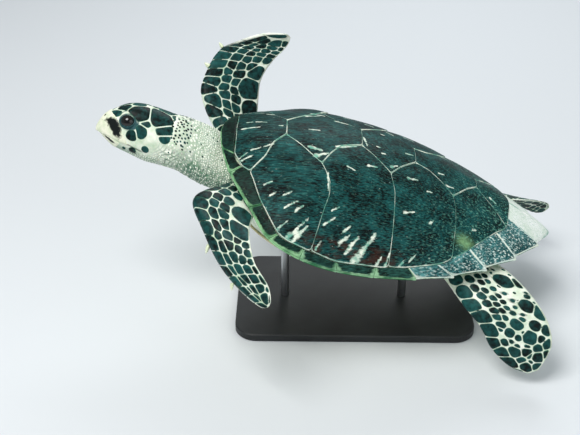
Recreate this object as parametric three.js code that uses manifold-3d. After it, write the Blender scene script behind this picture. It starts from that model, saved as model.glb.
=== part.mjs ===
// A hawksbill sea turtle, life size, swimming with its head up, held over a flat base by two short rods.
// Millimetres, +Z up. The origin is the centre of the base's underside, and the tail points to +X.
//
// The turtle is modelled in its own body frame: x runs from the nuchal scute to the tail, y is positive
// on its right-hand side, and z = 0 is the lowest line of the shell's rim. A group then pitches it.
import * as THREE from "three";
import { mergeVertices } from "three/addons/utils/BufferGeometryUtils.js";
import Module from "manifold-3d";

const wasm = await Module();
wasm.setup();

// ---------------------------------------------------------------- driving dimensions

const GAP = 0.3; // clearance between neighbouring solids
const PITCH = THREE.MathUtils.degToRad(15.2); // nose-up attitude on the stand
const BODY_SHIFT = new THREE.Vector3(-300, 0, 305); // body frame to the stand's frame

const SHELL_CENTRE_X = 273; // pole of the polar frame of the shell
const SHELL_HEIGHT = 143.6; // crown above the side rim
const RIM_Z = { front: 83.4, rear: 44.9 }; // height of the rim at the two ends
const DOME_ALPHA = { side: 1.89, front: 1.75, rear: 1.8 };
const DOME_BETA = { side: 0.725, front: 0.787, rear: 0.938 };

const SCUTE_THICKNESS = 5.5;
const SCUTE_LIFT = 2.2; // rise of each scute's rear edge over the next one
const MARGINAL_LIFT = 0.8;
const NUCHAL_LIFT = 0.6;
const RIM_EDGE = new THREE.Vector3(0, 0, -4); // from the upper to the lower corner of the rim's edge
const MARGINAL_TRIM = (1.6 * GAP) / 250; // radians off each end of a marginal scute
const SEAM_CLEARANCE = 0.0022; // between marginal and inner scutes, as a share of the rim's radius
const TRUNK_CLEARANCE = 2.4; // between the scutes' underside and the trunk
const RIM_LIP = { side: 14, front: 8, rear: 62 }; // how far the rim's underside turns inward
const RIM_TEETH = 7; // projection of the saw-tooth corners of the rear marginals

const PLASTRON_THICKNESS = 5;
const PLASTRON_Z = { centre: -72, side: -46, front: -30, rear: -22 };

const BASE = { length: 460, width: 270, height: 16, corner: 40, bevel: 2 };
const ROD_RADIUS = 8;
const ROD_X = [190, 430]; // body-frame stations of the two rods

// Outline of the rim in plan, [x, y]: the middle of the nuchal scute, then the outer corner of each
// seam between the marginal scutes, back to the middle of the tail end.
const RIM_OUTLINE = [
  [26, 0],
  [33, 49],
  [55, 110],
  [98, 168],
  [140, 220],
  [199, 236],
  [268, 236],
  [333, 231],
  [408, 219],
  [474, 198],
  [534, 164],
  [594, 117],
  [647, 56],
  [677, 0],
];

// Outline of the plastron in plan.
const PLASTRON_OUTLINE = [
  [80, 0],
  [92, 62],
  [120, 112],
  [180, 150],
  [265, 163],
  [350, 158],
  [430, 138],
  [500, 100],
  [550, 55],
  [568, 0],
];

// Seams between the vertebral and costal scutes: corner points and the bends between them.
const JUNCTION = {
  nuchalMiddle: [52, 0],
  nuchalSide: [55, 73],
  v1m2: [71.6, 103],
  v1c1: [86.3, 114.6],
  v1v2: [139.9, 28.3],
  v2c1c2: [206, 96.5],
  v2v3: [277, 30.9],
  v3c2c3: [332.6, 80.6],
  v3v4: [382, 27.1],
  v4c3c4: [457.3, 71.5],
  v4v5: [511, 14],
  v5side: [573.5, 72.4],
  v5rear: [584, 0],
  c1c2rim: [213.6, 229.5],
  c2c3rim: [352.5, 221],
  c3c4rim: [464.6, 182],
};
const BEND = {
  v1c1: [
    [108, 86],
    [119, 52],
  ],
  v2c1: [[169, 57]],
  v2c2: [
    [222, 67],
    [238, 46],
  ],
  v3c2: [[300, 50]],
  v3c3: [[353, 54.6]],
  v4c3: [
    [409, 33],
    [434.8, 50.8],
  ],
  v4c4: [[490, 32]],
  v5c4: [
    [524, 27],
    [547, 46],
  ],
  c1c2: [
    [224, 130],
    [227, 153],
    [221, 181],
    [217, 207],
  ],
  c2c3: [
    [343, 116],
    [346.5, 158],
    [349.5, 195],
  ],
  c3c4: [
    [463, 95],
    [465, 127],
    [464, 155],
  ],
};

// Inner corners of the marginal scutes, front to rear, and their outer corners on the rim.
const MARGINAL_INNER = [
  JUNCTION.nuchalSide,
  JUNCTION.v1m2,
  [118, 172],
  [153.5, 218],
  [202, 229],
  [262, 231],
  [332.5, 224.5],
  [389.7, 214],
  [441, 197.2],
  [498, 154],
  [552, 96],
  [579, 45],
  JUNCTION.v5rear,
];
const MARGINAL_OUTER = RIM_OUTLINE.slice(1);
const MARGINAL_STEPS = 3; // rings along each marginal scute
const SAME_ANGLE = 0.02; // radians: two points of the seam closer than this are one
const FIRST_TOOTHED = 6; // the seventh marginal is the first with a saw-tooth corner

// The head is modelled about its own axis, which is HEAD_AXIS_Z above the body frame's origin, and is
// then rolled a little so that its left side looks up. Sections: [x, centre z, half height, half width,
// squareness], with z measured from that axis.
const HEAD_AXIS_Z = 45;
const HEAD_ROLL = THREE.MathUtils.degToRad(-12);
const HEAD_SECTIONS = [
  [-194.5, -14, 4, 2.2, 2],
  [-192, -9.5, 8.8, 5, 2],
  [-187, -4.5, 15.5, 9.5, 2.1],
  [-180, -2.5, 23, 15, 2.1],
  [-171, -1.5, 30, 21.5, 2.2],
  [-160, 0, 37, 28, 2.3],
  [-144, 2, 43, 35.5, 2.4],
  [-128, 2.5, 46.5, 39.5, 2.4],
  [-112, 1.5, 48.5, 41.5, 2.4],
  [-94, -1, 50, 42.5, 2.3],
  [-76, -2.5, 50, 43.5, 2.2],
  [-60, -3.5, 50, 45.5, 2.1],
];
// Neck sections: [x, centre z, half height, half width, squareness, share of the head's roll].
const NECK_SECTIONS = [
  [-60, 41.5, 50, 45.5, 2.1, 1],
  [-38, 40, 51, 49, 2, 0.8],
  [-14, 34.5, 53, 55, 2, 0.45],
  [8, 29, 53, 60, 2, 0],
  [32, 23, 50, 63, 2, 0],
  [62, 20, 49, 64, 2, 0],
  [100, 15, 46, 62, 2, 0],
];
// The mouth line in side view, from the tip of the beak to the corner of the jaw: [x, z].
const MOUTH_LINE = [
  [-230, -17],
  [-184, -17],
  [-168, -17],
  [-148, -20],
  [-128, -21],
  [-108, -26],
  [-88, -29],
];
const MOUTH_GAPE = 0.8;
const BEAK_HOOK = { x: -184, z: -27 }; // the upper beak reaches down past the mouth line in front of x
const UPPER_BEAK_EDGE = [
  [-131, -19],
  [-144, 2.5],
  [-158, 10.5],
  [-174, 24],
  [-216, 66],
];
const LOWER_BEAK_EDGE = [
  [-146, -20],
  [-152, -70],
];
const EYE = { x: -139, y: 21.8, z: 18.3, radius: 16 };
const EYE_FACETS = [14, 9];

// Tail: [x, centre z, half height, half width, squareness].
const TAIL_SECTIONS = [
  [545, 0, 20, 32, 2],
  [585, -1, 18, 25, 2],
  [615, 0, 14, 17, 2],
  [642, 2, 9, 9.5, 2],
  [660, 5, 4, 4, 2],
];

// Flippers, root to tip. Each station holds a point of the leading edge, the point of the trailing edge
// across from it, and the thickness there. The root station is inside the trunk.
const FRONT_FLIPPER_LEFT = {
  root: { lead: [66, -72, 16], trail: [150, -95, 12], thick: 46 },
  shoulder: { lead: [38, -128, 36], trail: [118, -146, 24], thick: 42 },
  elbow: { lead: [1, -190, 43], trail: [105, -214, 34], thick: 28 },
  wrist: { lead: [30, -231, 12], trail: [107, -262, 34], thick: 21 },
  palm: { lead: [72, -269, -23], trail: [120, -300, 21], thick: 15 },
  fingers: { lead: [117, -308, -39], trail: [150, -326, -1], thick: 10 },
  fingertips: { lead: [148, -332, -40], trail: [159, -337, -20], thick: 6 },
  tip: { lead: [155, -336, -36], trail: [159, -338, -29], thick: 4 },
};
const FRONT_FLIPPER_RIGHT = {
  root: { lead: [66, 72, 16], trail: [150, 95, 12], thick: 46 },
  shoulder: { lead: [20, 112, 32], trail: [106, 150, 26], thick: 42 },
  elbow: { lead: [-22, 151, 77], trail: [93, 196, 66], thick: 29 },
  wrist: { lead: [-21, 188, 108], trail: [89, 223, 102], thick: 20 },
  palm: { lead: [-5, 226, 141], trail: [105, 262, 131], thick: 14 },
  fingers: { lead: [25, 256, 155], trail: [121, 291, 144], thick: 10 },
  fingertips: { lead: [73, 286, 173], trail: [130, 313, 155], thick: 8 },
  tip: { lead: [120, 310, 175], trail: [131, 318, 166], thick: 4 },
};
const HIND_FLIPPER_LEFT = {
  root: { lead: [448, -92, -12], trail: [556, -76, 0], thick: 44 },
  knee: { lead: [480, -146, -22], trail: [588, -138, 18], thick: 38 },
  ankle: { lead: [518, -190, -42], trail: [625, -190, 14], thick: 26 },
  foot: { lead: [550, -218, -57], trail: [659, -222, -9], thick: 18 },
  web: { lead: [582, -236, -87], trail: [675, -246, -38], thick: 13 },
  toes: { lead: [621, -248, -106], trail: [675, -253, -67], thick: 9 },
  tip: { lead: [654, -255, -108], trail: [670, -256, -94], thick: 5 },
};
const HIND_FLIPPER_RIGHT = {
  root: { lead: [448, 98, -14], trail: [556, 66, 0], thick: 44 },
  knee: { lead: [500, 152, -16], trail: [585, 106, 14], thick: 37 },
  ankle: { lead: [590, 204, -20], trail: [637, 129, 24], thick: 22 },
  foot: { lead: [648, 214, -24], trail: [674, 139, 28], thick: 15 },
  web: { lead: [695, 208, -28], trail: [707, 149, 27], thick: 10 },
  toes: { lead: [717, 198, -27], trail: [723, 159, 20], thick: 8 },
  tip: { lead: [731, 186, -16], trail: [733, 169, 7], thick: 5 },
};
const RINGS_PER_STATION = 2;

// Claws on the leading edge of each front flipper: root x, y, z; tip x, y, z; radius at the root.
const CLAWS = {
  front_claw_left_1: [44, -243, -3, 42, -255, -14, 4],
  front_claw_left_2: [95, -292, -34, 97, -300, -44, 3.5],
  front_claw_right_1: [-18, 196, 114, -29, 199, 118, 4],
  front_claw_right_2: [-1, 234, 143, -10, 240, 150, 3.5],
};

// ---------------------------------------------------------------- small helpers

const COLOUR = {
  scute: "#16302f",
  marginal: "#1c3a35",
  supracaudal: "#a9b8a4",
  skin: "#20403c",
  neck: "#a9c4b0",
  beak: "#c9d3ad",
  eye: "#0c1416",
  plastron: "#d9cf9e",
  claw: "#b9b48c",
  base: "#26262a",
  rod: "#8d9196",
};

function material(name) {
  const metal = name === "rod";
  return new THREE.MeshStandardMaterial({
    color: COLOUR[name],
    roughness: metal ? 0.35 : name === "eye" ? 0.1 : 0.5,
    metalness: metal ? 1 : 0,
  });
}

function piece(name, geometry, finish) {
  const mesh = new THREE.Mesh(geometry, material(finish));
  mesh.name = name;
  return mesh;
}

const lerp = THREE.MathUtils.lerp;
const clamp = THREE.MathUtils.clamp;

// A geometry from a list of Vector3 and a list of vertex-index triples.
function geometryOf(points, triangles) {
  const positions = new Float32Array(points.length * 3);
  points.forEach((p, i) => p.toArray(positions, i * 3));
  const geometry = new THREE.BufferGeometry();
  geometry.setAttribute("position", new THREE.BufferAttribute(positions, 3));
  geometry.setIndex(triangles.flat());
  geometry.computeVertexNormals();
  return geometry;
}

// Closed solid through rings of equal length, with a fan over each end.
function loft(rings) {
  const count = rings[0].length;
  const points = rings.flat();
  const triangles = [];
  for (let r = 0; r + 1 < rings.length; r++)
    for (let i = 0; i < count; i++) {
      const a = r * count + i;
      const b = r * count + ((i + 1) % count);
      triangles.push([a, b, b + count], [a, b + count, a + count]);
    }
  for (const [ring, flip] of [
    [0, false],
    [rings.length - 1, true],
  ]) {
    const centre = new THREE.Vector3();
    rings[ring].forEach((p) => centre.addScaledVector(p, 1 / count));
    points.push(centre);
    for (let i = 0; i < count; i++) {
      const a = ring * count + i;
      const b = ring * count + ((i + 1) % count);
      triangles.push(flip ? [a, b, points.length - 1] : [b, a, points.length - 1]);
    }
  }
  return facingOut(geometryOf(points, triangles));
}

// The same geometry with its faces turned round if they point inward.
function facingOut(geometry) {
  const p = geometry.getAttribute("position");
  const index = geometry.getIndex().array;
  const a = new THREE.Vector3();
  const b = new THREE.Vector3();
  const c = new THREE.Vector3();
  let volume = 0;
  for (let i = 0; i < index.length; i += 3) {
    a.fromBufferAttribute(p, index[i]);
    b.fromBufferAttribute(p, index[i + 1]);
    c.fromBufferAttribute(p, index[i + 2]);
    volume += a.dot(b.cross(c));
  }
  if (volume < 0)
    for (let i = 0; i < index.length; i += 3)
      [index[i + 1], index[i + 2]] = [index[i + 2], index[i + 1]];
  geometry.computeVertexNormals();
  return geometry;
}

function solidOf(geometry) {
  const bare = new THREE.BufferGeometry();
  bare.setAttribute("position", geometry.getAttribute("position"));
  if (geometry.getIndex()) bare.setIndex(geometry.getIndex());
  const merged = mergeVertices(bare, 1e-4);
  return new wasm.Manifold(
    new wasm.Mesh({
      numProp: 3,
      vertProperties: new Float32Array(merged.getAttribute("position").array),
      triVerts: new Uint32Array(merged.getIndex().array),
    }),
  );
}

function geometryFrom(solid) {
  const mesh = solid.getMesh();
  const geometry = new THREE.BufferGeometry();
  geometry.setAttribute("position", new THREE.BufferAttribute(mesh.vertProperties, 3));
  geometry.setIndex([...mesh.triVerts]);
  geometry.computeVertexNormals();
  return geometry;
}

// The largest piece left when the cutters are taken from a geometry.
function cut(geometry, ...cutters) {
  let solid = solidOf(geometry);
  for (const cutter of cutters) solid = solid.subtract(cutter);
  const parts = solid.decompose().sort((a, b) => b.volume() - a.volume());
  return geometryFrom(parts[0]);
}

// A prism over an outline in the x-z plane, wide enough to pass through the head.
function sidePrism(outline) {
  const shape = new THREE.Shape(outline.map(([x, z]) => new THREE.Vector2(x, z)));
  const geometry = new THREE.ExtrudeGeometry(shape, { depth: 200, bevelEnabled: false });
  geometry.rotateX(Math.PI / 2);
  geometry.translate(0, 100, 0);
  return solidOf(geometry);
}

// A smooth closed outline, mirrored in y, as a function from polar angle to radius.
function radiusOf(outline) {
  const mirrored = outline.slice(1, -1).reverse();
  const loop = [...outline, ...mirrored.map(([x, y]) => [x, -y])];
  const curve = new THREE.SplineCurve(
    [...loop, loop[0]].map(([x, y]) => new THREE.Vector2(x, y)),
  );
  const table = [];
  for (const p of curve.getPoints(900)) {
    if (p.y < 0) continue;
    table.push([Math.atan2(p.y, p.x - SHELL_CENTRE_X), Math.hypot(p.x - SHELL_CENTRE_X, p.y)]);
  }
  table.sort((a, b) => a[0] - b[0]);
  return (angle) => {
    const at = Math.abs(Math.atan2(Math.sin(angle), Math.cos(angle)));
    let i = table.findIndex(([t]) => t >= at);
    if (i < 0) return table[table.length - 1][1];
    if (i === 0) return table[0][1];
    const [t0, r0] = table[i - 1];
    const [t1, r1] = table[i];
    return lerp(r0, r1, t1 === t0 ? 0 : (at - t0) / (t1 - t0));
  };
}

const polar = ([x, y]) => Math.atan2(y, x - SHELL_CENTRE_X);

// The seam between the marginal scutes and the inner ones passes through the corners of both.
const { nuchalMiddle, v1c1, c1c2rim, c2c3rim, c3c4rim, v5side } = JUNCTION;
const INNER_CORNERS = [v1c1, c1c2rim, c2c3rim, c3c4rim, v5side];
const MARGINAL_SEAM = [nuchalMiddle, ...MARGINAL_INNER, ...INNER_CORNERS];
MARGINAL_SEAM.sort((a, b) => polar(b) - polar(a));

const rimRadius = radiusOf(RIM_OUTLINE);
const plastronRadius = radiusOf(PLASTRON_OUTLINE);
const seamRadius = radiusOf(MARGINAL_SEAM);

// ---------------------------------------------------------------- the shell's surface

// How much of the front, rear and side profile applies at a polar angle.
function sector(angle) {
  const c = Math.cos(angle);
  const rear = c > 0 ? c * c : 0;
  const front = c < 0 ? c * c : 0;
  return { rear, front, side: 1 - rear - front };
}

function blend(weights, values) {
  return weights.side * values.side + weights.front * values.front + weights.rear * values.rear;
}

function rimHeight(angle) {
  const w = sector(angle);
  return RIM_Z.front * w.front + RIM_Z.rear * w.rear;
}

// Point on the dome at a polar angle and a fraction of the rim's radius.
function domeAt(angle, fraction) {
  const w = sector(angle);
  const rise = Math.pow(
    Math.max(0, 1 - Math.pow(fraction, blend(w, DOME_ALPHA))),
    blend(w, DOME_BETA),
  );
  const rim = rimHeight(angle);
  const r = rimRadius(angle) * fraction;
  return new THREE.Vector3(
    SHELL_CENTRE_X + r * Math.cos(angle),
    r * Math.sin(angle),
    rim + (SHELL_HEIGHT - rim) * rise,
  );
}

// Outward normal of the dome.
function domeNormal(angle, fraction) {
  if (fraction < 0.02) return new THREE.Vector3(0, 0, 1);
  const along = domeAt(angle, fraction + 1e-3 > 1 ? 1 : fraction + 1e-3);
  along.sub(domeAt(angle, Math.min(fraction, 1) - 1e-3));
  const around = domeAt(angle + 1e-3, Math.min(fraction, 0.995));
  around.sub(domeAt(angle - 1e-3, Math.min(fraction, 0.995)));
  return along.cross(around).normalize();
}

// The same point moved along the normal; a negative offset is inside the shell.
function domeOffset(angle, fraction, offset) {
  return domeAt(angle, fraction).addScaledVector(domeNormal(angle, fraction), offset);
}

// The dome over a point in plan.
function domeOver(x, y, offset) {
  const angle = Math.atan2(y, x - SHELL_CENTRE_X);
  const fraction = Math.hypot(x - SHELL_CENTRE_X, y) / rimRadius(angle);
  return domeOffset(angle, Math.min(fraction, 1), offset);
}

// Inner corner of the rim's underside.
function lipAt(angle, drop) {
  const w = sector(angle);
  const lip = RIM_LIP.side + RIM_LIP.front * w.front + RIM_LIP.rear * w.rear * w.rear;
  const radius = Math.max(rimRadius(angle) - lip, seamRadius(angle) + 6 * w.rear);
  const over = domeAt(angle, radius / rimRadius(angle));
  const z = lerp(rimHeight(angle) - 5, over.z - SCUTE_THICKNESS - 4, w.rear * w.rear);
  over.z = z - drop;
  return over;
}

// ---------------------------------------------------------------- scutes

// The outline moved inward by a distance, corner by corner.
function inset(outline, distance) {
  const count = outline.length;
  const turn = outline.reduce((sum, [x, y], i) => {
    const [nx, ny] = outline[(i + 1) % count];
    return sum + x * ny - nx * y;
  }, 0);
  const side = Math.sign(turn);
  return outline.map(([x, y], i) => {
    const [px, py] = outline[(i + count - 1) % count];
    const [nx, ny] = outline[(i + 1) % count];
    const before = new THREE.Vector2(x - px, y - py).normalize();
    const after = new THREE.Vector2(nx - x, ny - y).normalize();
    const normal = new THREE.Vector2(-before.y - after.y, before.x + after.x).normalize();
    const square = normal.dot(new THREE.Vector2(-after.y, after.x));
    const reach = (side * distance) / Math.max(0.4, square);
    return [x + normal.x * reach, y + normal.y * reach];
  });
}

// Extra points on the long sides of an outline.
function refine(outline, longest) {
  return outline.flatMap(([x, y], i) => {
    const [nx, ny] = outline[(i + 1) % outline.length];
    const steps = Math.max(1, Math.ceil(Math.hypot(nx - x, ny - y) / longest));
    return Array.from({ length: steps }, (_, s) => [
      lerp(x, nx, s / steps),
      lerp(y, ny, s / steps),
    ]);
  });
}

// A curved plate over an outline in plan, its rear edge lifted.
function scute(outline) {
  const edge = inset(refine(outline, 42), GAP);
  const count = edge.length;
  const centre = [0, 0];
  edge.forEach(([x, y]) => {
    centre[0] += x / count;
    centre[1] += y / count;
  });
  const front = Math.min(...edge.map(([x]) => x));
  const rear = Math.max(...edge.map(([x]) => x));
  const lift = (x) => SCUTE_LIFT * clamp((x - front) / (rear - front), 0, 1) ** 1.5;
  const rings = (scales, offset) =>
    scales.map((s) =>
      edge.map(([x, y]) => {
        const px = lerp(centre[0], x, s);
        const py = lerp(centre[1], y, s);
        return domeOver(px, py, offset(px));
      }),
    );
  const top = rings([0.4, 0.76, 1], lift);
  const bottom = rings([1, 0.76, 0.4], () => -SCUTE_THICKNESS);
  return loft([...top, ...bottom]);
}

function mirroredOutline(half) {
  const other = half
    .filter(([, y]) => y > 0)
    .reverse()
    .map(([x, y]) => [x, -y]);
  return [...half, ...other];
}

const reversed = (points) => [...points].reverse();

// Where along a marginal scute its rings are: evenly spaced, and at the corners of the inner scutes.
function ringShares(index) {
  const from = polar(MARGINAL_INNER[index]);
  const to = polar(MARGINAL_INNER[index + 1]);
  const corners = INNER_CORNERS.map((p) => (polar(p) - from) / (to - from));
  const inside = corners.filter((t) => t > 0 && t < 1);
  const even = Array.from({ length: MARGINAL_STEPS - 1 }, (_, s) => (s + 1) / MARGINAL_STEPS);
  const apart = even.filter((t) => inside.every((corner) => Math.abs(corner - t) > 0.15));
  return [0, ...apart, ...inside, 1].sort((a, b) => a - b);
}

// Points of the marginal seam strictly between two of its corners, at the marginals' own rings.
function rimBends(from, to) {
  const corners = MARGINAL_INNER.map(polar);
  const rings = corners.slice(1).flatMap((next, i) =>
    ringShares(i)
      .slice(0, -1)
      .map((t) => lerp(corners[i], next, t)),
  );
  return rings
    .filter((angle) => angle < polar(from) - SAME_ANGLE && angle > polar(to) + SAME_ANGLE)
    .map((angle) => {
      const r = seamRadius(angle);
      return [SHELL_CENTRE_X + r * Math.cos(angle), r * Math.sin(angle)];
    });
}

function vertebralOutlines() {
  const j = JUNCTION;
  return [
    [j.nuchalMiddle, j.nuchalSide, j.v1m2, j.v1c1, ...BEND.v1c1, j.v1v2],
    [j.v1v2, ...BEND.v2c1, j.v2c1c2, ...BEND.v2c2, j.v2v3],
    [j.v2v3, ...BEND.v3c2, j.v3c2c3, ...BEND.v3c3, j.v3v4],
    [j.v3v4, ...BEND.v4c3, j.v4c3c4, ...BEND.v4c4, j.v4v5],
    [j.v4v5, ...BEND.v5c4, j.v5side, ...rimBends(j.v5side, j.v5rear), j.v5rear],
  ].map(mirroredOutline);
}

function costalOutlines() {
  const j = JUNCTION;
  return [
    [
      ...[j.v1c1, ...BEND.v1c1, j.v1v2, ...BEND.v2c1, j.v2c1c2, ...BEND.c1c2, j.c1c2rim],
      ...reversed(rimBends(j.v1c1, j.c1c2rim)),
    ],
    [
      ...[j.v2c1c2, ...BEND.v2c2, j.v2v3, ...BEND.v3c2, j.v3c2c3, ...BEND.c2c3, j.c2c3rim],
      ...reversed(rimBends(j.c1c2rim, j.c2c3rim)),
      ...[j.c1c2rim, ...reversed(BEND.c1c2)],
    ],
    [
      ...[j.v3c2c3, ...BEND.v3c3, j.v3v4, ...BEND.v4c3, j.v4c3c4, ...BEND.c3c4, j.c3c4rim],
      ...reversed(rimBends(j.c2c3rim, j.c3c4rim)),
      ...[j.c2c3rim, ...reversed(BEND.c2c3)],
    ],
    [
      ...[j.v4c3c4, ...BEND.v4c4, j.v4v5, ...BEND.v5c4, j.v5side],
      ...reversed(rimBends(j.c3c4rim, j.v5side)),
      ...[j.c3c4rim, ...reversed(BEND.c3c4)],
    ],
  ];
}

// One marginal scute: a wedge-shaped bar that turns under at the rim.
function marginal(index, side) {
  const inner = [polar(MARGINAL_INNER[index]), polar(MARGINAL_INNER[index + 1])];
  const outer = [polar(MARGINAL_OUTER[index]), polar(MARGINAL_OUTER[index + 1])];
  const growing = clamp((index - FIRST_TOOTHED + 1) / 3, 0, 1);
  const rings = [];
  for (const t of ringShares(index)) {
    const trim = (t === 0 ? 1 : t === 1 ? -1 : 0) * MARGINAL_TRIM;
    const lift = MARGINAL_LIFT * t ** 1.5;
    const tooth = RIM_TEETH * growing * t ** 3;
    const a = lerp(inner[0], inner[1], t) - trim;
    const b = lerp(outer[0], outer[1], t) - trim;
    const start = seamRadius(a) / rimRadius(a) + SEAM_CLEARANCE;
    const ring = [0, 0.45, 0.8].map((f) => {
      const angle = lerp(a, b, f);
      const fraction = lerp(start, 1, 1 - (1 - f) ** 1.6);
      return domeOffset(angle, fraction, lift);
    });
    const rim = domeOffset(b, 1, lift);
    const out = new THREE.Vector3(Math.cos(b), Math.sin(b), -0.25);
    rim.addScaledVector(out, tooth);
    const under = rim.clone().add(RIM_EDGE);
    ring.push(rim, under, lipAt(b, 0), domeOffset(a, start, -SCUTE_THICKNESS));
    ring.forEach((p) => {
      p.y *= side;
    });
    rings.push(ring);
  }
  return loft(rings);
}

// The nuchal scute: a marginal bar that spans the midline.
function nuchal() {
  const half = polar(MARGINAL_INNER[0]);
  const halfRim = polar(MARGINAL_OUTER[0]);
  const rings = [];
  const steps = 2 * MARGINAL_STEPS;
  for (let s = 0; s <= steps; s++) {
    const t = lerp(-1, 1, s / steps);
    const trim = (s === 0 ? 1 : s === steps ? -1 : 0) * MARGINAL_TRIM;
    const a = Math.PI + t * (Math.PI - half) + trim;
    const b = Math.PI + t * (Math.PI - halfRim) + trim;
    const start = seamRadius(a) / rimRadius(a) + SEAM_CLEARANCE;
    const ring = [0, 0.5].map((f) => domeOffset(lerp(a, b, f), lerp(start, 1, f), NUCHAL_LIFT));
    const rim = domeOffset(b, 1, NUCHAL_LIFT);
    const under = rim.clone().add(RIM_EDGE);
    ring.push(rim, under, lipAt(b, 0), domeOffset(a, start, -SCUTE_THICKNESS));
    rings.push(ring);
  }
  return loft(rings);
}

// ---------------------------------------------------------------- trunk and plastron

function plastronHeight(angle, fraction) {
  const edge = blend(sector(angle), PLASTRON_Z);
  return lerp(PLASTRON_Z.centre, edge, fraction ** 3);
}

function plastronAt(angle, fraction, grow, drop) {
  const r = plastronRadius(angle) * fraction + grow;
  return new THREE.Vector3(
    SHELL_CENTRE_X + r * Math.cos(angle),
    r * Math.sin(angle),
    plastronHeight(angle, fraction) - drop,
  );
}

const TURNS = 38; // points round each ring of the trunk and plastron
const angles = Array.from({ length: TURNS }, (_, i) => (i / TURNS) * 2 * Math.PI);

// A body of revolution-like rings round the shell's pole, top to bottom.
function ringsOf(rows) {
  return rows.map((row) => angles.map((angle) => row(angle)));
}

// Bulging side wall between the rim's underside and the plastron's edge.
function wallAt(angle, t, grow) {
  const top = lipAt(angle, 0.6);
  const foot = plastronAt(angle, 1, 0, -PLASTRON_THICKNESS);
  const p = top.lerp(foot, t);
  const bulge = 8 * Math.sin(Math.PI * t) * sector(angle).front + grow;
  p.x += Math.cos(angle) * bulge;
  p.y += Math.sin(angle) * bulge;
  return p;
}

function trunk() {
  const depth = -(SCUTE_THICKNESS + TRUNK_CLEARANCE);
  const dome = (f) => (angle) =>
    domeOffset(angle, (f * (seamRadius(angle) - 1.5)) / rimRadius(angle), depth);
  const floor = (f) => (angle) => plastronAt(angle, f, -2.5 * f, -PLASTRON_THICKNESS - GAP);
  const inner = (t) => (angle) => wallAt(angle, t, -2);
  const lip = (angle) => {
    const drop = 1.5 + 4 * sector(angle).rear;
    return wallAt(angle, 0, -4).add(new THREE.Vector3(0, 0, -drop));
  };
  const rows = [dome(0.25), dome(0.5), dome(0.72), dome(0.88), dome(0.97), dome(1)];
  rows.push(lip, inner(0.5), inner(0.93), floor(1), floor(0.7), floor(0.35));
  return loft(ringsOf(rows));
}

function plastron() {
  const skin = (f, drop) => (angle) => plastronAt(angle, f, 0, drop);
  const rows = [skin(0.35, -PLASTRON_THICKNESS), skin(0.7, -PLASTRON_THICKNESS)];
  rows.push(skin(1, -PLASTRON_THICKNESS), skin(1, -1.5), skin(0.97, 0));
  rows.push(skin(0.7, 0), skin(0.35, 0));
  return loft(ringsOf(rows));
}

// Everything the limbs must stay clear of: shell, trunk and plastron, a little enlarged.
function envelope() {
  const outer = (f) => (angle) => domeOffset(angle, f, SCUTE_LIFT + 1);
  const rows = [outer(0.3), outer(0.6), outer(0.85), outer(0.96), outer(1)];
  rows.push((angle) => {
    const p = domeAt(angle, 1);
    p.x += Math.cos(angle) * 4;
    p.y += Math.sin(angle) * 4;
    p.z -= 5.5;
    return p;
  });
  rows.push((angle) => lipAt(angle, 1.2));
  rows.push(...[0.1, 0.5, 0.93].map((t) => (angle) => wallAt(angle, t, -2 + GAP + 0.1)));
  rows.push((angle) => plastronAt(angle, 1, 0.6, -PLASTRON_THICKNESS - 0.6));
  rows.push((angle) => plastronAt(angle, 1, 0.6, 0.6));
  rows.push((angle) => plastronAt(angle, 0.97, 0.6, 0.6));
  rows.push((angle) => plastronAt(angle, 0.7, 0, 0.4));
  rows.push((angle) => plastronAt(angle, 0.35, 0, 0.4));
  return solidOf(loft(ringsOf(rows)));
}

// ---------------------------------------------------------------- head, neck and tail

const AROUND = 18; // points round each ring of the head, neck and tail

function sectionRing([x, z, height, width, square, rollShare = 0]) {
  const roll = new THREE.Vector3(1, 0, 0);
  return Array.from({ length: AROUND }, (_, i) => {
    const a = (i / AROUND) * 2 * Math.PI;
    const power = 2 / square;
    const c = Math.sign(Math.cos(a)) * Math.abs(Math.cos(a)) ** power;
    const s = Math.sign(Math.sin(a)) * Math.abs(Math.sin(a)) ** power;
    const p = new THREE.Vector3(0, width * c, height * s);
    return p.applyAxisAngle(roll, HEAD_ROLL * rollShare).add(new THREE.Vector3(x, 0, z));
  });
}

function bodyOf(sections) {
  return loft(sections.map(sectionRing));
}

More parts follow.
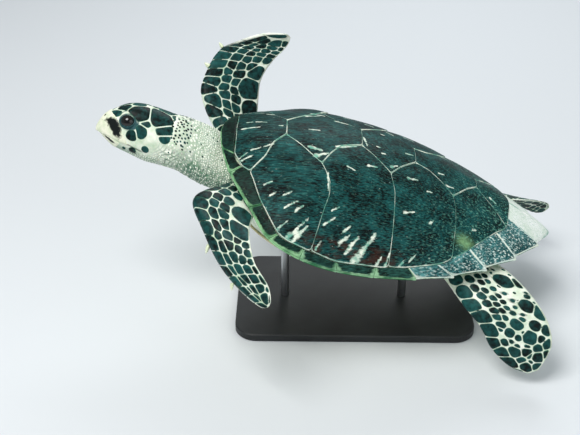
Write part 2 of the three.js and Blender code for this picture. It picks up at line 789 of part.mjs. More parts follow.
function headPieces() {
  const last = HEAD_SECTIONS.length - 1;
  const sections = HEAD_SECTIONS.map((s, i) => (i === last ? [s[0] - GAP / 2, ...s.slice(1)] : s));
  const whole = bodyOf(sections);
  const above = MOUTH_LINE.map(([x, z]) => [x, z + MOUTH_GAPE / 2]);
  const below = MOUTH_LINE.map(([x, z]) => [x, z - MOUTH_GAPE / 2]);
  const mouth = sidePrism([...above, ...reversed(below)]);
  const level = (line, x) => {
    const i = clamp(line.findIndex((p) => p[0] > x), 1, line.length - 1);
    const t = (x - line[i - 1][0]) / (line[i][0] - line[i - 1][0]);
    return lerp(line[i - 1][1], line[i][1], t);
  };
  const upperEdge = UPPER_BEAK_EDGE.slice(1);
  const upperOutline = (grow) => [
    [-240, BEAK_HOOK.z],
    [BEAK_HOOK.x + grow, BEAK_HOOK.z],
    [BEAK_HOOK.x + grow, level(above, BEAK_HOOK.x) - grow],
    ...above.slice(2, 4).map(([x, z]) => [x, z - grow]),
    [UPPER_BEAK_EDGE[0][0] + grow * 1.4, level(above, UPPER_BEAK_EDGE[0][0]) - grow],
    ...upperEdge.map(([x, z]) => [x + grow * 1.4, z]),
    [-240, upperEdge[upperEdge.length - 1][1]],
  ];
  const lowerOutline = (grow) => [
    [BEAK_HOOK.x + GAP - grow, level(below, BEAK_HOOK.x) + grow],
    [below[2][0], below[2][1] + grow],
    [LOWER_BEAK_EDGE[0][0] + grow, level(below, LOWER_BEAK_EDGE[0][0]) + grow],
    [LOWER_BEAK_EDGE[1][0] + grow, LOWER_BEAK_EDGE[1][1]],
    [BEAK_HOOK.x + GAP - grow, LOWER_BEAK_EDGE[1][1]],
  ];
  const upper = geometryFrom(solidOf(whole).intersect(sidePrism(upperOutline(0))));
  const lower = geometryFrom(solidOf(whole).intersect(sidePrism(lowerOutline(0))));
  const sockets = [-1, 1].map((side) => {
    const ball = new THREE.SphereGeometry(EYE.radius + GAP, ...EYE_FACETS);
    ball.translate(EYE.x, side * EYE.y, EYE.z);
    return solidOf(ball);
  });
  const head = cut(
    whole,
    mouth,
    sidePrism(upperOutline(GAP)),
    sidePrism(lowerOutline(GAP)),
    ...sockets,
  );
  return [
    piece("head", head, "skin"),
    piece("beak_upper", upper, "beak"),
    piece("beak_lower", lower, "beak"),
  ];
}

function eye(name, side) {
  const ball = new THREE.SphereGeometry(EYE.radius, ...EYE_FACETS);
  ball.translate(EYE.x, side * EYE.y, EYE.z);
  return piece(name, ball, "eye");
}

// ---------------------------------------------------------------- flippers and claws

// Half thickness across the chord, from the leading edge to the trailing edge.
const CHORD = [
  [0, 0],
  [0.05, 0.62],
  [0.28, 1],
  [0.6, 0.72],
  [0.9, 0.3],
  [1, 0.14],
];

function flipper(stations) {
  const named = Object.values(stations);
  const edge = (key) =>
    new THREE.CatmullRomCurve3(named.map((s) => new THREE.Vector3(...s[key])), false, "centripetal");
  const lead = edge("lead");
  const trail = edge("trail");
  const count = (named.length - 1) * RINGS_PER_STATION;
  const middle = (t) => lead.getPoint(t).lerp(trail.getPoint(t), 0.5);
  const rings = [];
  for (let r = 0; r <= count; r++) {
    const t = r / count;
    const span = middle(Math.min(1, t + 1 / count)).sub(middle(Math.max(0, t - 1 / count)));
    const from = lead.getPoint(t);
    const chord = trail.getPoint(t).sub(from);
    const normal = chord.clone().cross(span).normalize();
    const station = Math.min(Math.floor(r / RINGS_PER_STATION), named.length - 2);
    const part = r / RINGS_PER_STATION - station;
    const half = lerp(named[station].thick, named[station + 1].thick, part) / 2;
    const at = (u, h) => from.clone().addScaledVector(chord, u).addScaledVector(normal, h * half);
    const upper = CHORD.map(([u, h]) => at(u, h));
    const lower = reversed(CHORD.slice(1)).map(([u, h]) => at(u, -h));
    rings.push([...upper, ...lower]);
  }
  return loft(rings);
}

function claw([x, y, z, tx, ty, tz, radius]) {
  const root = new THREE.Vector3(x, y, z);
  const axis = new THREE.Vector3(tx, ty, tz).sub(root);
  const geometry = new THREE.ConeGeometry(radius, axis.length(), 10);
  geometry.translate(0, axis.length() / 2, 0);
  const turn = new THREE.Quaternion().setFromUnitVectors(
    new THREE.Vector3(0, 1, 0),
    axis.clone().normalize(),
  );
  geometry.applyQuaternion(turn);
  geometry.translate(x, y, z);
  return geometry;
}

function grown([x, y, z, tx, ty, tz, radius]) {
  return solidOf(claw([x, y, z, tx, ty, tz, radius + GAP * 1.2]));
}

// ---------------------------------------------------------------- assembly

const shell = envelope();
const turtle = new THREE.Group();
turtle.rotation.y = PITCH;
turtle.position.copy(BODY_SHIFT);

const headGroup = new THREE.Group();
headGroup.position.z = HEAD_AXIS_Z;
headGroup.rotation.x = HEAD_ROLL;
headGroup.add(...headPieces(), eye("eye_left", -1), eye("eye_right", 1));
turtle.add(headGroup);

const neckSections = NECK_SECTIONS.map((s, i) => (i === 0 ? [s[0] + GAP / 2, ...s.slice(1)] : s));
turtle.add(piece("neck", cut(bodyOf(neckSections), shell), "neck"));
turtle.add(piece("tail", cut(bodyOf(TAIL_SECTIONS), shell), "skin"));
turtle.add(piece("trunk", trunk(), "neck"));
turtle.add(piece("plastron", plastron(), "plastron"));

const aroundNeck = ([x, z, height, width, ...rest]) => [x, z, height + GAP, width + GAP, ...rest];
const neckSolid = solidOf(bodyOf(NECK_SECTIONS.map(aroundNeck)));
const limbs = {
  front_flipper_left: FRONT_FLIPPER_LEFT,
  front_flipper_right: FRONT_FLIPPER_RIGHT,
  hind_flipper_left: HIND_FLIPPER_LEFT,
  hind_flipper_right: HIND_FLIPPER_RIGHT,
};
for (const [name, stations] of Object.entries(limbs)) {
  const cutters = [shell];
  if (name.startsWith("front")) cutters.push(neckSolid);
  const side = name.endsWith("left") ? "left" : "right";
  for (const [clawName, shape] of Object.entries(CLAWS))
    if (name.startsWith("front") && clawName.includes(side)) cutters.push(grown(shape));
  turtle.add(piece(name, cut(flipper(stations), ...cutters), "skin"));
}
for (const [name, shape] of Object.entries(CLAWS)) turtle.add(piece(name, claw(shape), "claw"));

turtle.add(piece("nuchal", nuchal(), "marginal"));
vertebralOutlines().forEach((outline, i) =>
  turtle.add(piece("vertebral_" + (i + 1), scute(outline), "scute")),
);
for (const [side, sign] of [
  ["left", -1],
  ["right", 1],
]) {
  costalOutlines().forEach((outline, i) => {
    const placed = outline.map(([x, y]) => [x, sign * y]);
    turtle.add(piece("costal_" + side + "_" + (i + 1), scute(placed), "scute"));
  });
  for (let i = 0; i < 12; i++) {
    const name = i < 11 ? "marginal_" + side + "_" + (i + 1) : "supracaudal_" + side;
    turtle.add(piece(name, marginal(i, sign), i < 11 ? "marginal" : "supracaudal"));
  }
}

// The stand: a flat base with rounded corners, and two rods cut to the plastron.
function standBase() {
  const w = BASE.length / 2 - BASE.bevel;
  const h = BASE.width / 2 - BASE.bevel;
  const r = BASE.corner;
  const shape = new THREE.Shape();
  shape.moveTo(-w + r, -h);
  shape.lineTo(w - r, -h);
  shape.absarc(w - r, -h + r, r, -Math.PI / 2, 0, false);
  shape.lineTo(w, h - r);
  shape.absarc(w - r, h - r, r, 0, Math.PI / 2, false);
  shape.lineTo(-w + r, h);
  shape.absarc(-w + r, h - r, r, Math.PI / 2, Math.PI, false);
  shape.lineTo(-w, -h + r);
  shape.absarc(-w + r, -h + r, r, Math.PI, 1.5 * Math.PI, false);
  const geometry = new THREE.ExtrudeGeometry(shape, {
    depth: BASE.height - 2 * BASE.bevel,
    bevelThickness: BASE.bevel,
    bevelSize: BASE.bevel,
    bevelSegments: 1,
    curveSegments: 5,
  });
  geometry.translate(0, 0, BASE.bevel);
  return geometry;
}

turtle.updateMatrix();
const placedShell = shell.transform([...turtle.matrix.elements]);

function standRod(bodyX) {
  const foot = new THREE.Vector3(bodyX, 0, PLASTRON_Z.centre).applyMatrix4(turtle.matrix);
  const height = foot.z + 20 - (BASE.height + GAP);
  const rod = new THREE.CylinderGeometry(ROD_RADIUS, ROD_RADIUS, height, 24);
  rod.rotateX(Math.PI / 2);
  rod.translate(foot.x, 0, BASE.height + GAP + height / 2);
  return cut(rod, placedShell);
}

const model = new THREE.Group();
model.add(turtle);
model.add(piece("stand_base", standBase(), "base"));
model.add(piece("stand_rod_front", standRod(ROD_X[0]), "rod"));
model.add(piece("stand_rod_rear", standRod(ROD_X[1]), "rod"));

export default model;
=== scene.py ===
"""Looks of a life-size hawksbill sea turtle on a display stand, built around its fixed solid frame.

Lengths in this script are millimetres in the turtle's own body frame: x runs from the nuchal scute to
the tail, y is positive on the animal's right, and z = 0 is the lowest line of the shell's rim. The body
frame is pitched nose-up and lifted onto the stand when a mesh is made, in metres.
"""
import sys

import logging
import math
from dataclasses import dataclass, field
from enum import Enum
from typing import Callable, Sequence

import bpy
import numpy as np
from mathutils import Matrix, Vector
from mathutils.kdtree import KDTree


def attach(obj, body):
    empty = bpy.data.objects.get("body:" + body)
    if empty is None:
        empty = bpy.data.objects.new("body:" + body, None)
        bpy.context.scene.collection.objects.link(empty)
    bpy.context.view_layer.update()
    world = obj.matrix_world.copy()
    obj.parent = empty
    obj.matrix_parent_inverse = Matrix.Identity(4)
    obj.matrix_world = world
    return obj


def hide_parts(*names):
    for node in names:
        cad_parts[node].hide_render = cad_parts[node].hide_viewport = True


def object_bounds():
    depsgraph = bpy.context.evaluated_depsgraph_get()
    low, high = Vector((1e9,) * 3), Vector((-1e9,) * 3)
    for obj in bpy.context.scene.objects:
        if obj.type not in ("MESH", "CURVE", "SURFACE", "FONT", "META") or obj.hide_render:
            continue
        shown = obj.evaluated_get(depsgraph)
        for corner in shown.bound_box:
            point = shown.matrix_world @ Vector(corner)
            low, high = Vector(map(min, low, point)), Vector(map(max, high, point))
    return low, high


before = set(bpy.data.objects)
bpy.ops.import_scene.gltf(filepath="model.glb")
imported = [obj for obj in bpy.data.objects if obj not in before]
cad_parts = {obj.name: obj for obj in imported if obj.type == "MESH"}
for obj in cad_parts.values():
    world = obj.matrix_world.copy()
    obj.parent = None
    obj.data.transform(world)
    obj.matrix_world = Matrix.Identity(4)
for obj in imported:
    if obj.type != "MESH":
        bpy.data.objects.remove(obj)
CAD_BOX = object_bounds()
LOG = logging.getLogger("turtle")

MM = 0.001  # one millimetre in Blender's metres
PITCH = math.radians(15.2)
BODY_SHIFT = np.array([-300.0, 0.0, 305.0])
ROOT = "root"  # the one body of a still model

BODY_TURN = np.array([[math.cos(PITCH), 0, math.sin(PITCH)],
                      [0, 1, 0],
                      [-math.sin(PITCH), 0, math.cos(PITCH)]])

Array = np.ndarray
Corners = list[tuple[float, float]]
Faces = list[tuple[int, ...]]
Material = bpy.types.Material
Object = bpy.types.Object
Socket = bpy.types.NodeSocket


# ------------------------------------------------------------------ frames and meshes


def to_world(points: Array) -> Array:
    """Turn body-frame points into the row frame.

    Args:
        points: n x 3 positions in body-frame millimetres.

    Returns:
        The same points in metres, pitched and lifted onto the stand.
    """
    return (points @ BODY_TURN.T + BODY_SHIFT) * MM


def from_world(points: Array) -> Array:
    """Turn positions of the row frame, in metres, back into body-frame millimetres."""
    return (np.asarray(points, float) / MM - BODY_SHIFT) @ BODY_TURN


def vertex_places(mesh: bpy.types.Mesh) -> Array:
    """Positions of a mesh's vertices, n x 3, in metres.

    Args:
        mesh: the mesh.

    Returns:
        n x 3 positions.
    """
    places = np.zeros(len(mesh.vertices) * 3, np.float32)
    mesh.vertices.foreach_get("co", places)
    return places.reshape(-1, 3)


def unit(vectors: Array) -> Array:
    """Scale vectors to length one.

    Args:
        vectors: n x 3 array.

    Returns:
        The directions, with zero vectors left as they are.
    """
    length = np.linalg.norm(vectors, axis=-1, keepdims=True)
    return vectors / np.maximum(length, 1e-9)


def smoothstep(low: float, high: float, value: Array) -> Array:
    """Ease from 0 at low to 1 at high.

    Args:
        low: where the rise starts.
        high: where it ends.
        value: the values to ease.

    Returns:
        The eased shares, from 0 to 1.
    """
    t = np.clip((np.asarray(value, float) - low) / (high - low), 0, 1)
    return t * t * (3 - 2 * t)


def ring_faces(rows: int, count: int, start: int = 0) -> Faces:
    """Quads between neighbouring rings of points.

    Args:
        rows: number of rings.
        count: number of points in a ring.
        start: index of the first point.

    Returns:
        The vertex indices of each quad.
    """
    r, c = np.meshgrid(np.arange(rows - 1), np.arange(count), indexing="ij")
    following = (c + 1) % count
    near, far = r * count + start, (r + 1) * count + start
    quads = np.stack([near + c, near + following, far + following, far + c], -1)
    return [tuple(quad) for quad in quads.reshape(-1, 4).tolist()]


def closed_loft(rings: Sequence[Array]) -> tuple[Array, Faces]:
    """A closed mesh through rings, with a fan over each end.

    Args:
        rings: point rings of equal length.

    Returns:
        Points and faces. The last two points are the middles of the first and the last ring.
    """
    count = len(rings[0])
    points = np.vstack([*rings, rings[0].mean(0)[None], rings[-1].mean(0)[None]])
    faces = ring_faces(len(rings), count)
    total = len(rings) * count
    last = total - count
    for i in range(count):
        j = (i + 1) % count
        faces += [(j, i, total), (last + i, last + j, total + 1)]
    return points, faces


def select_only(obj: Object) -> None:
    """Select one object alone and make it the active one."""
    bpy.ops.object.select_all(action="DESELECT")
    obj.select_set(True)
    bpy.context.view_layer.objects.active = obj


def apply_modifiers(obj: Object) -> None:
    """Apply every modifier of an object, first to last."""
    select_only(obj)
    for modifier in list(obj.modifiers):
        bpy.ops.object.modifier_apply(modifier=modifier.name)


def mesh_object(
    name: str,
    points: Array,
    faces: Faces,
    attributes: dict[str, Array] | None = None,
    uv: dict[str, Array] | None = None,
) -> Object:
    """Make a smooth-shaded mesh object from body-frame points.

    Args:
        name: the object's name.
        points: n x 3 body-frame positions in millimetres.
        faces: vertex indices of each face.
        attributes: float values per point, by attribute name.
        uv: a pair of coordinates per face corner, by UV map name.

    Returns:
        The new object, at the origin, with its place in its mesh.
    """
    mesh = bpy.data.meshes.new(name)
    mesh.from_pydata(to_world(np.asarray(points, float)).tolist(), [], faces)
    mesh.validate()
    for key, values in (attributes or {}).items():
        layer = mesh.attributes.new(key, "FLOAT", "POINT")
        layer.data.foreach_set("value", np.asarray(values, np.float32))
    for key, values in (uv or {}).items():
        layer = mesh.uv_layers.new(name=key)
        layer.data.foreach_set("uv", np.asarray(values, np.float32).ravel())
    mesh.shade_smooth()
    obj = bpy.data.objects.new(name, mesh)
    bpy.context.scene.collection.objects.link(obj)
    return obj


def recalculate(obj: Object) -> Object:
    """Point the faces of a closed piece outward, and return it.

    Args:
        obj: the piece.

    Returns:
        The same piece.
    """
    select_only(obj)
    bpy.ops.object.mode_set(mode="EDIT")
    bpy.ops.mesh.select_all(action="SELECT")
    bpy.ops.mesh.normals_make_consistent(inside=False)
    bpy.ops.object.mode_set(mode="OBJECT")
    return obj


def place(obj: Object, material: Material, nodes: Sequence[str]) -> None:
    """Dress a finished piece and tie it to the frame.

    Args:
        obj: the finished piece.
        material: its finish.
        nodes: the CAD nodes that it stands for, none for a coat that lies over the skin.
    """
    obj.data.materials.clear()
    obj.data.materials.append(material)
    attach(obj, ROOT)
    if nodes:
        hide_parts(*nodes)
    LOG.info("%s: %d faces", obj.name, len(obj.data.polygons))


def catmull(points: Array, per_span: int, centripetal: bool = False) -> Array:
    """Points on a Catmull-Rom curve through the given ones.

    Args:
        points: n x d control points.
        per_span: samples on each span.
        centripetal: whether knots are spaced by the root of the chord.

    Returns:
        ((n - 1) * per_span + 1) x d samples.
    """
    p = np.asarray(points, float)
    before, after = 2 * p[0] - p[1], 2 * p[-1] - p[-2]
    if not centripetal:
        before, after = p[0], p[-1]
    q = np.vstack([before, p, after])
    out = []
    for i in range(1, len(q) - 2):
        a, b, c, d = q[i - 1:i + 3]
        if centripetal:
            gaps = [max(np.linalg.norm(v - u), 1e-6) ** 0.5 for u, v in ((a, b), (b, c), (c, d))]
        else:
            gaps = [1.0, 1.0, 1.0]
        m1 = gaps[1] * ((b - a) / gaps[0] - (c - a) / (gaps[0] + gaps[1]) + (c - b) / gaps[1])
        m2 = gaps[1] * ((c - b) / gaps[1] - (d - b) / (gaps[1] + gaps[2]) + (d - c) / gaps[2])
        t = (np.arange(per_span) / per_span)[:, None]
        out.append((2 * t**3 - 3 * t**2 + 1) * b + (t**3 - 2 * t**2 + t) * m1
                   + (3 * t**2 - 2 * t**3) * c + (t**3 - t**2) * m2)
    out.append(p[-1:])
    return np.vstack(out)


# ------------------------------------------------------------------ the shell's surface

SHELL_CENTRE_X = 273.0  # pole of the polar frame of the shell
SHELL_HEIGHT = 143.6  # crown above the side rim
RIM_FRONT_Z = 83.4
RIM_REAR_Z = 44.9
DOME_ALPHA = (1.89, 1.75, 1.80)  # side, front, rear
DOME_BETA = (0.725, 0.787, 0.938)

# Outline of the rim in plan: the middle of the nuchal scute, then the outer corner of each seam
# between the marginal scutes, back to the middle of the tail end.
RIM_OUTLINE = [(26, 0), (33, 49), (55, 110), (98, 168), (140, 220), (199, 236), (268, 236), (333, 231),
               (408, 219), (474, 198), (534, 164), (594, 117), (647, 56), (677, 0)]
PLASTRON_OUTLINE = [(80, 0), (92, 62), (120, 112), (180, 150), (265, 163), (350, 158), (430, 138),
                    (500, 100), (550, 55), (568, 0)]

# Corners where the seams of the inner scutes meet, in plan.
NUCHAL_MIDDLE, NUCHAL_SIDE = (52, 0), (55, 73)
V1_M2, V1_C1, V1_V2 = (71.6, 103), (86.3, 114.6), (139.9, 28.3)
V2_C1_C2, V2_V3 = (206, 96.5), (277, 30.9)
V3_C2_C3, V3_V4 = (332.6, 80.6), (382, 27.1)
V4_C3_C4, V4_V5 = (457.3, 71.5), (511, 14)
V5_SIDE, V5_REAR = (573.5, 72.4), (584, 0)
C1_C2_RIM, C2_C3_RIM, C3_C4_RIM = (213.6, 229.5), (352.5, 221), (464.6, 182)

# The bends of those seams between their corners.
BEND_V1_C1 = [(108, 86), (119, 52)]
BEND_V2_C1 = [(169, 57)]
BEND_V2_C2 = [(222, 67), (238, 46)]
BEND_V3_C2 = [(300, 50)]
BEND_V3_C3 = [(353, 54.6)]
BEND_V4_C3 = [(409, 33), (434.8, 50.8)]
BEND_V4_C4 = [(490, 32)]
BEND_V5_C4 = [(524, 27), (547, 46)]
BEND_C1_C2 = [(224, 130), (227, 153), (221, 181), (217, 207)]
BEND_C2_C3 = [(343, 116), (346.5, 158), (349.5, 195)]
BEND_C3_C4 = [(463, 95), (465, 127), (464, 155)]

MARGINAL_INNER = [NUCHAL_SIDE, V1_M2, (118, 172), (153.5, 218), (202, 229), (262, 231), (332.5, 224.5),
                  (389.7, 214), (441, 197.2), (498, 154), (552, 96), (579, 45), V5_REAR]
MARGINAL_OUTER = RIM_OUTLINE[1:]
RIM_POINTS = 24  # points of the rim's seam between two corners of a plate
FIRST_TOOTHED = 6  # the seventh marginal is the first with a saw-tooth corner
RIM_TEETH = 7.0
SCUTE_LIFT = 2.2  # rise of each scute's rear edge over the next one
MARGINAL_LIFT = 0.8
NUCHAL_LIFT = 0.6
PLATE_DEPTH = 5.0  # how deep a scute's side walls reach
RIM_LIP = (14.0, 8.0, 62.0)  # how far the rim's underside turns inward: everywhere, front, rear


def polar(points: Array) -> Array:
    """Polar angle of plan points about the shell's pole."""
    p = np.asarray(points, float)
    return np.arctan2(p[..., 1], p[..., 0] - SHELL_CENTRE_X)


class Outline:
    """A smooth closed outline in plan, the same on both sides, as a radius about the shell's pole."""

    def __init__(self, half: Sequence[tuple[float, float]]) -> None:
        """Sample the outline.

        Args:
            half: plan points of the right half, from the front middle to the rear middle.
        """
        points = np.array(half, float)
        mirrored = points[-2:0:-1] * [1, -1]
        loop = np.vstack([points, mirrored, points[:1]])
        curve = catmull(loop, 40)
        curve = curve[curve[:, 1] >= 0]
        angle = polar(curve)
        order = np.argsort(angle)
        self.angles = angle[order]
        self.radii = np.hypot(curve[:, 0] - SHELL_CENTRE_X, curve[:, 1])[order]

    def radius(self, angle: Array) -> Array:
        """Radius at a polar angle, on either side."""
        wrapped = np.abs(np.arctan2(np.sin(angle), np.cos(angle)))
        return np.interp(wrapped, self.angles, self.radii)


def seam_outline() -> Outline:
    """The seam between the marginal scutes and the inner ones, through the corners of both."""
    corners = [*MARGINAL_INNER, NUCHAL_MIDDLE, V1_C1, C1_C2_RIM, C2_C3_RIM, C3_C4_RIM, V5_SIDE]
    return Outline(sorted(set(corners), key=lambda p: -float(polar(p))))


RIM = Outline(RIM_OUTLINE)
SEAM = seam_outline()
PLASTRON_EDGE = Outline(PLASTRON_OUTLINE)


def sector(angle: Array) -> tuple[Array, Array, Array]:
    """Shares of the side, front and rear profile at a polar angle.

    Args:
        angle: polar angles.

    Returns:
        Side, front and rear shares, which add up to one.
    """
    c = np.cos(angle)
    rear = np.where(c > 0, c * c, 0)
    front = np.where(c < 0, c * c, 0)
    return 1 - rear - front, front, rear


def blend(angle: Array, values: tuple[float, float, float]) -> Array:
    """Mix a side, a front and a rear value at a polar angle."""
    side, front, rear = sector(angle)
    return side * values[0] + front * values[1] + rear * values[2]


def rim_height(angle: Array) -> Array:
    """Height of the rim at a polar angle."""
    return blend(angle, (0.0, RIM_FRONT_Z, RIM_REAR_Z))


def dome_at(angle: Array, fraction: Array) -> Array:
    """Points on the dome.

    Args:
        angle: polar angles.
        fraction: fractions of the rim's radius.

    Returns:
        n x 3 body-frame points.
    """
    rise = np.maximum(0, 1 - fraction ** blend(angle, DOME_ALPHA)) ** blend(angle, DOME_BETA)
    rim = rim_height(angle)
    r = RIM.radius(angle) * fraction
    return np.stack([SHELL_CENTRE_X + r * np.cos(angle), r * np.sin(angle),
                     rim + (SHELL_HEIGHT - rim) * rise], -1)


def dome_normal(angle: Array, fraction: Array) -> Array:
    """Outward normals of the dome.

    Args:
        angle: polar angles.
        fraction: fractions of the rim's radius.

    Returns:
        n x 3 directions.
    """
    f = np.clip(fraction, 0.02, 0.998)
    step = 2e-3
    along = dome_at(angle, f + step) - dome_at(angle, f - step)
    around = dome_at(angle + step, f) - dome_at(angle - step, f)
    return unit(np.cross(along, around))


def dome_over(plan: Array, offset: Array | float = 0.0) -> Array:
    """Points of the dome over a plan position, moved along the normal.

    Args:
        plan: n x 2 plan positions.
        offset: distance outward, one for all or one each.

    Returns:
        n x 3 body-frame points.
    """
    angle = polar(plan)
    radius = np.hypot(plan[..., 0] - SHELL_CENTRE_X, plan[..., 1])
    fraction = np.minimum(radius / RIM.radius(angle), 1.0)
    shift = np.broadcast_to(np.asarray(offset, float), fraction.shape)
    return dome_at(angle, fraction) + dome_normal(angle, fraction) * shift[..., None]


# ------------------------------------------------------------------ finishes


def linear(hex_colour: str) -> tuple[float, float, float, float]:
    """Turn an sRGB hex colour into the linear one that the shaders use.

    Args:
        hex_colour: such as "#16302f".

    Returns:
        Red, green, blue and alpha.
    """
    parts = [int(hex_colour[i:i + 2], 16) / 255 for i in (1, 3, 5)]
    straight = [p / 12.92 if p <= 0.04045 else ((p + 0.055) / 1.055) ** 2.4 for p in parts]
    return (*straight, 1.0)


SCATTER_DEPTH = 4 * MM  # how far light travels under the skin


class Shading:
    """The node tree of one material."""

    def __init__(self, name: str) -> None:
        """Start a material with one Principled shader.

        Args:
            name: the material's name, what it is and how its surface was made.
        """
        self.material = bpy.data.materials.new(name)
        self.material.use_nodes = True
        self.tree = self.material.node_tree
        self.shader = self.tree.nodes["Principled BSDF"]

    def feed(self, socket: Socket, value: object) -> None:
        """Link an input, or set it.

        Args:
            socket: the input.
            value: an output to link, a hex colour or a plain value.
        """
        if isinstance(value, Socket):
            self.tree.links.new(value, socket)
        else:
            socket.default_value = linear(value) if isinstance(value, str) else value

    def node(self, kind: str, inputs: dict, output: int | str = 0, stops: Sequence[tuple[float, str]] = (),
             **settings: object) -> Socket:
        """Add a node with its settings and links.

        Args:
            kind: the node's class without the ShaderNode prefix.
            inputs: what feeds each input, by name or index.
            output: name or index of the result.
            stops: position and hex colour of each stop of a colour ramp.
            settings: the node's own properties.

        Returns:
            The output that holds the result.
        """
        made = self.tree.nodes.new("ShaderNode" + kind)
        for key, value in settings.items():
            setattr(made, key, value)
        for key, value in inputs.items():
            self.feed(made.inputs[key], value)
        for i, (position, colour) in enumerate(stops):
            made.color_ramp.elements[i].position = position
            made.color_ramp.elements[i].color = linear(colour)
        return made.outputs[output]

    def marks(self, *names: str) -> list[Socket]:
        """The float attributes that the piece carries under these names."""
        return [self.node("Attribute", {}, "Fac", attribute_name=name) for name in names]

    def total(self, *terms: tuple[Socket, float], offset: float = 0.0) -> Socket:
        """Add values, each times its weight.

        Args:
            terms: values with their weights.
            offset: what the sum starts from.

        Returns:
            The sum.
        """
        result = offset
        for term, weight in terms:
            result = self.node("Math", {0: term, 1: weight, 2: result}, operation="MULTIPLY_ADD")
        return result

    def paint(self, base: object, *coats: tuple[Socket, object]) -> Socket:
        """Lay colours over a base, one after another.

        Args:
            base: hex colour or socket.
            coats: the share that each coat covers, and its colour.

        Returns:
            The painted colour.
        """
        for share, colour in coats:
            base = self.node("Mix", {0: share, 6: base, 7: colour}, 2, data_type="RGBA")
        return base

    def noise(self, size_mm: float, detail: float, stretch: tuple[float, float, float] = (1, 1, 1),
              distortion: float = 0.0) -> Socket:
        """Noise with lumps of a real size.

        Args:
            size_mm: rough distance between lumps.
            detail: octaves.
            stretch: how much finer the pattern is along each axis.
            distortion: how far its lines waver.

        Returns:
            The noise value.
        """
        scaled = self.node("Mapping", {"Vector": self.node("TexCoord", {}, "Object"), "Scale": stretch})
        return self.node("TexNoise", {"Vector": scaled, "Scale": 1 / (size_mm * MM), "Detail": detail,
                                      "Distortion": distortion})

    def finish(self, colour: object, roughness: object, coat: float = 0.0, coat_roughness: float = 0.2,
               ior: float = 1.5, metallic: float = 0.0, bump: object = None, bump_mm: float = 0.1,
               subsurface: float = 0.0, specular: float = 0.4) -> Material:
        """Set the shader's sockets.

        Args:
            colour: hex colour or socket.
            roughness: number or socket.
            coat: weight of a clear layer.
            coat_roughness: roughness of that layer.
            ior: refractive index.
            metallic: share of metal.
            bump: height socket, or None.
            bump_mm: height of a full step of the bump.
            subsurface: weight of scattering under the surface.
            specular: level of the mirror reflection.

        Returns:
            The material.
        """
        given = {"Base Color": colour, "Roughness": roughness, "Coat Weight": coat, "IOR": ior,
                 "Coat Roughness": coat_roughness, "Metallic": metallic, "Subsurface Weight": subsurface,
                 "Subsurface Scale": SCATTER_DEPTH, "Specular IOR Level": specular}
        if bump is not None:
            given["Normal"] = self.node("Bump", {"Height": bump, "Distance": bump_mm * MM})
        for key, value in given.items():
            self.feed(self.shader.inputs[key], value)
        return self.material


@dataclass(frozen=True)
class ScuteHorn:
    """Keratin of a carapace scute, worn satin: nearly black, with pale seams, cream strokes and scratches,
    and painted shade in dark green on the rim's edge and underside.
    """

    name: str = "scute_horn_worn_satin"
    dark: str = "#020a0a"
    mid: str = "#1f6260"
    pale: str = "#eef5e4"
    dull: str = "#6fae98"
    # painted shade: dark green for the rim's rounded edge and underside, where the horn itself is paler
    under: str = "#2b6a3f"
    rust: str = "#3a1f16"
    cloud: str = "#86b47e"
    seam_width: float = 1.15  # millimetres of pale edge
    speckle: float = 0.8  # strength of the pale mottling where the piece has it
    scratch_mm: float = 1.9  # between scratches

    def build(self) -> Material:
        """Make the material.

        Returns:
            The material.
        """
        s = Shading(self.name)
        speckled, clouded, rusty, under, cream_share, edge = s.marks(
            "speckle", "cloud", "rust", "under", "cream", "edge_mm")
        scratch = s.noise(self.scratch_mm, 3, (0.1, 1, 1), distortion=0.3)
        tone = s.total((s.noise(34, 4), 0.4), (scratch, 0.62))
        horn = s.node("ValToRGB", {0: tone}, stops=((0.43, self.dark), (0.72, self.mid)))
        flecks = s.node("MapRange", {"Value": s.noise(3.1, 4, (0.45, 1, 1)), "From Min": 0.54,
                                     "From Max": 0.66, "To Max": self.speckle})
        flecks = s.node("Math", {0: flecks, 1: speckled}, operation="MULTIPLY")
        cloud = s.node("Math", {0: s.total((s.noise(5, 4), 1.5)), 1: clouded}, operation="MULTIPLY")
        patches = s.node("MapRange", {"Value": s.noise(9, 4, (0.5, 1, 1)), "From Min": 0.42,
                                      "From Max": 0.58})
        patches = s.node("Math", {0: patches, 1: rusty}, operation="MULTIPLY")
        torn = s.noise(3.4, 5, (0.5, 1, 1))  # tears the borders of strokes and seams
        stroke = s.total((cream_share, 1), (torn, 1.9), offset=-0.95)
        stroke = s.node("MapRange", {"Value": stroke, "From Min": 0.3, "From Max": 0.85, "To Max": 0.9})
        stroke_light = s.node("ValToRGB", {0: s.noise(12, 3)}, stops=((0.38, self.dull), (0.58, self.pale)))
        seam = s.total((edge, 1), (torn, 1.5), offset=-0.75)
        seam = s.node("MapRange", {"Value": seam, "From Min": self.seam_width + 0.4,
                                   "From Max": self.seam_width - 0.3, "To Max": 0.9})
        seam_light = s.node("ValToRGB", {0: s.noise(26, 2)}, stops=((0.38, self.dull), (0.6, self.pale)))
        # the underside's colour is painted shade on most of the rim
        colour = s.paint(horn, (flecks, self.dull), (cloud, self.cloud), (patches, self.rust),
                         (under, self.under), (stroke, stroke_light), (seam, seam_light))
        relief = s.total((scratch, 0.6), (s.noise(3.5, 4), 0.6))
        rough = s.node("MapRange", {"Value": s.noise(20, 4), "To Min": 0.38, "To Max": 0.6})
        return s.finish(colour, rough, specular=0.1, bump=relief, bump_mm=0.3)


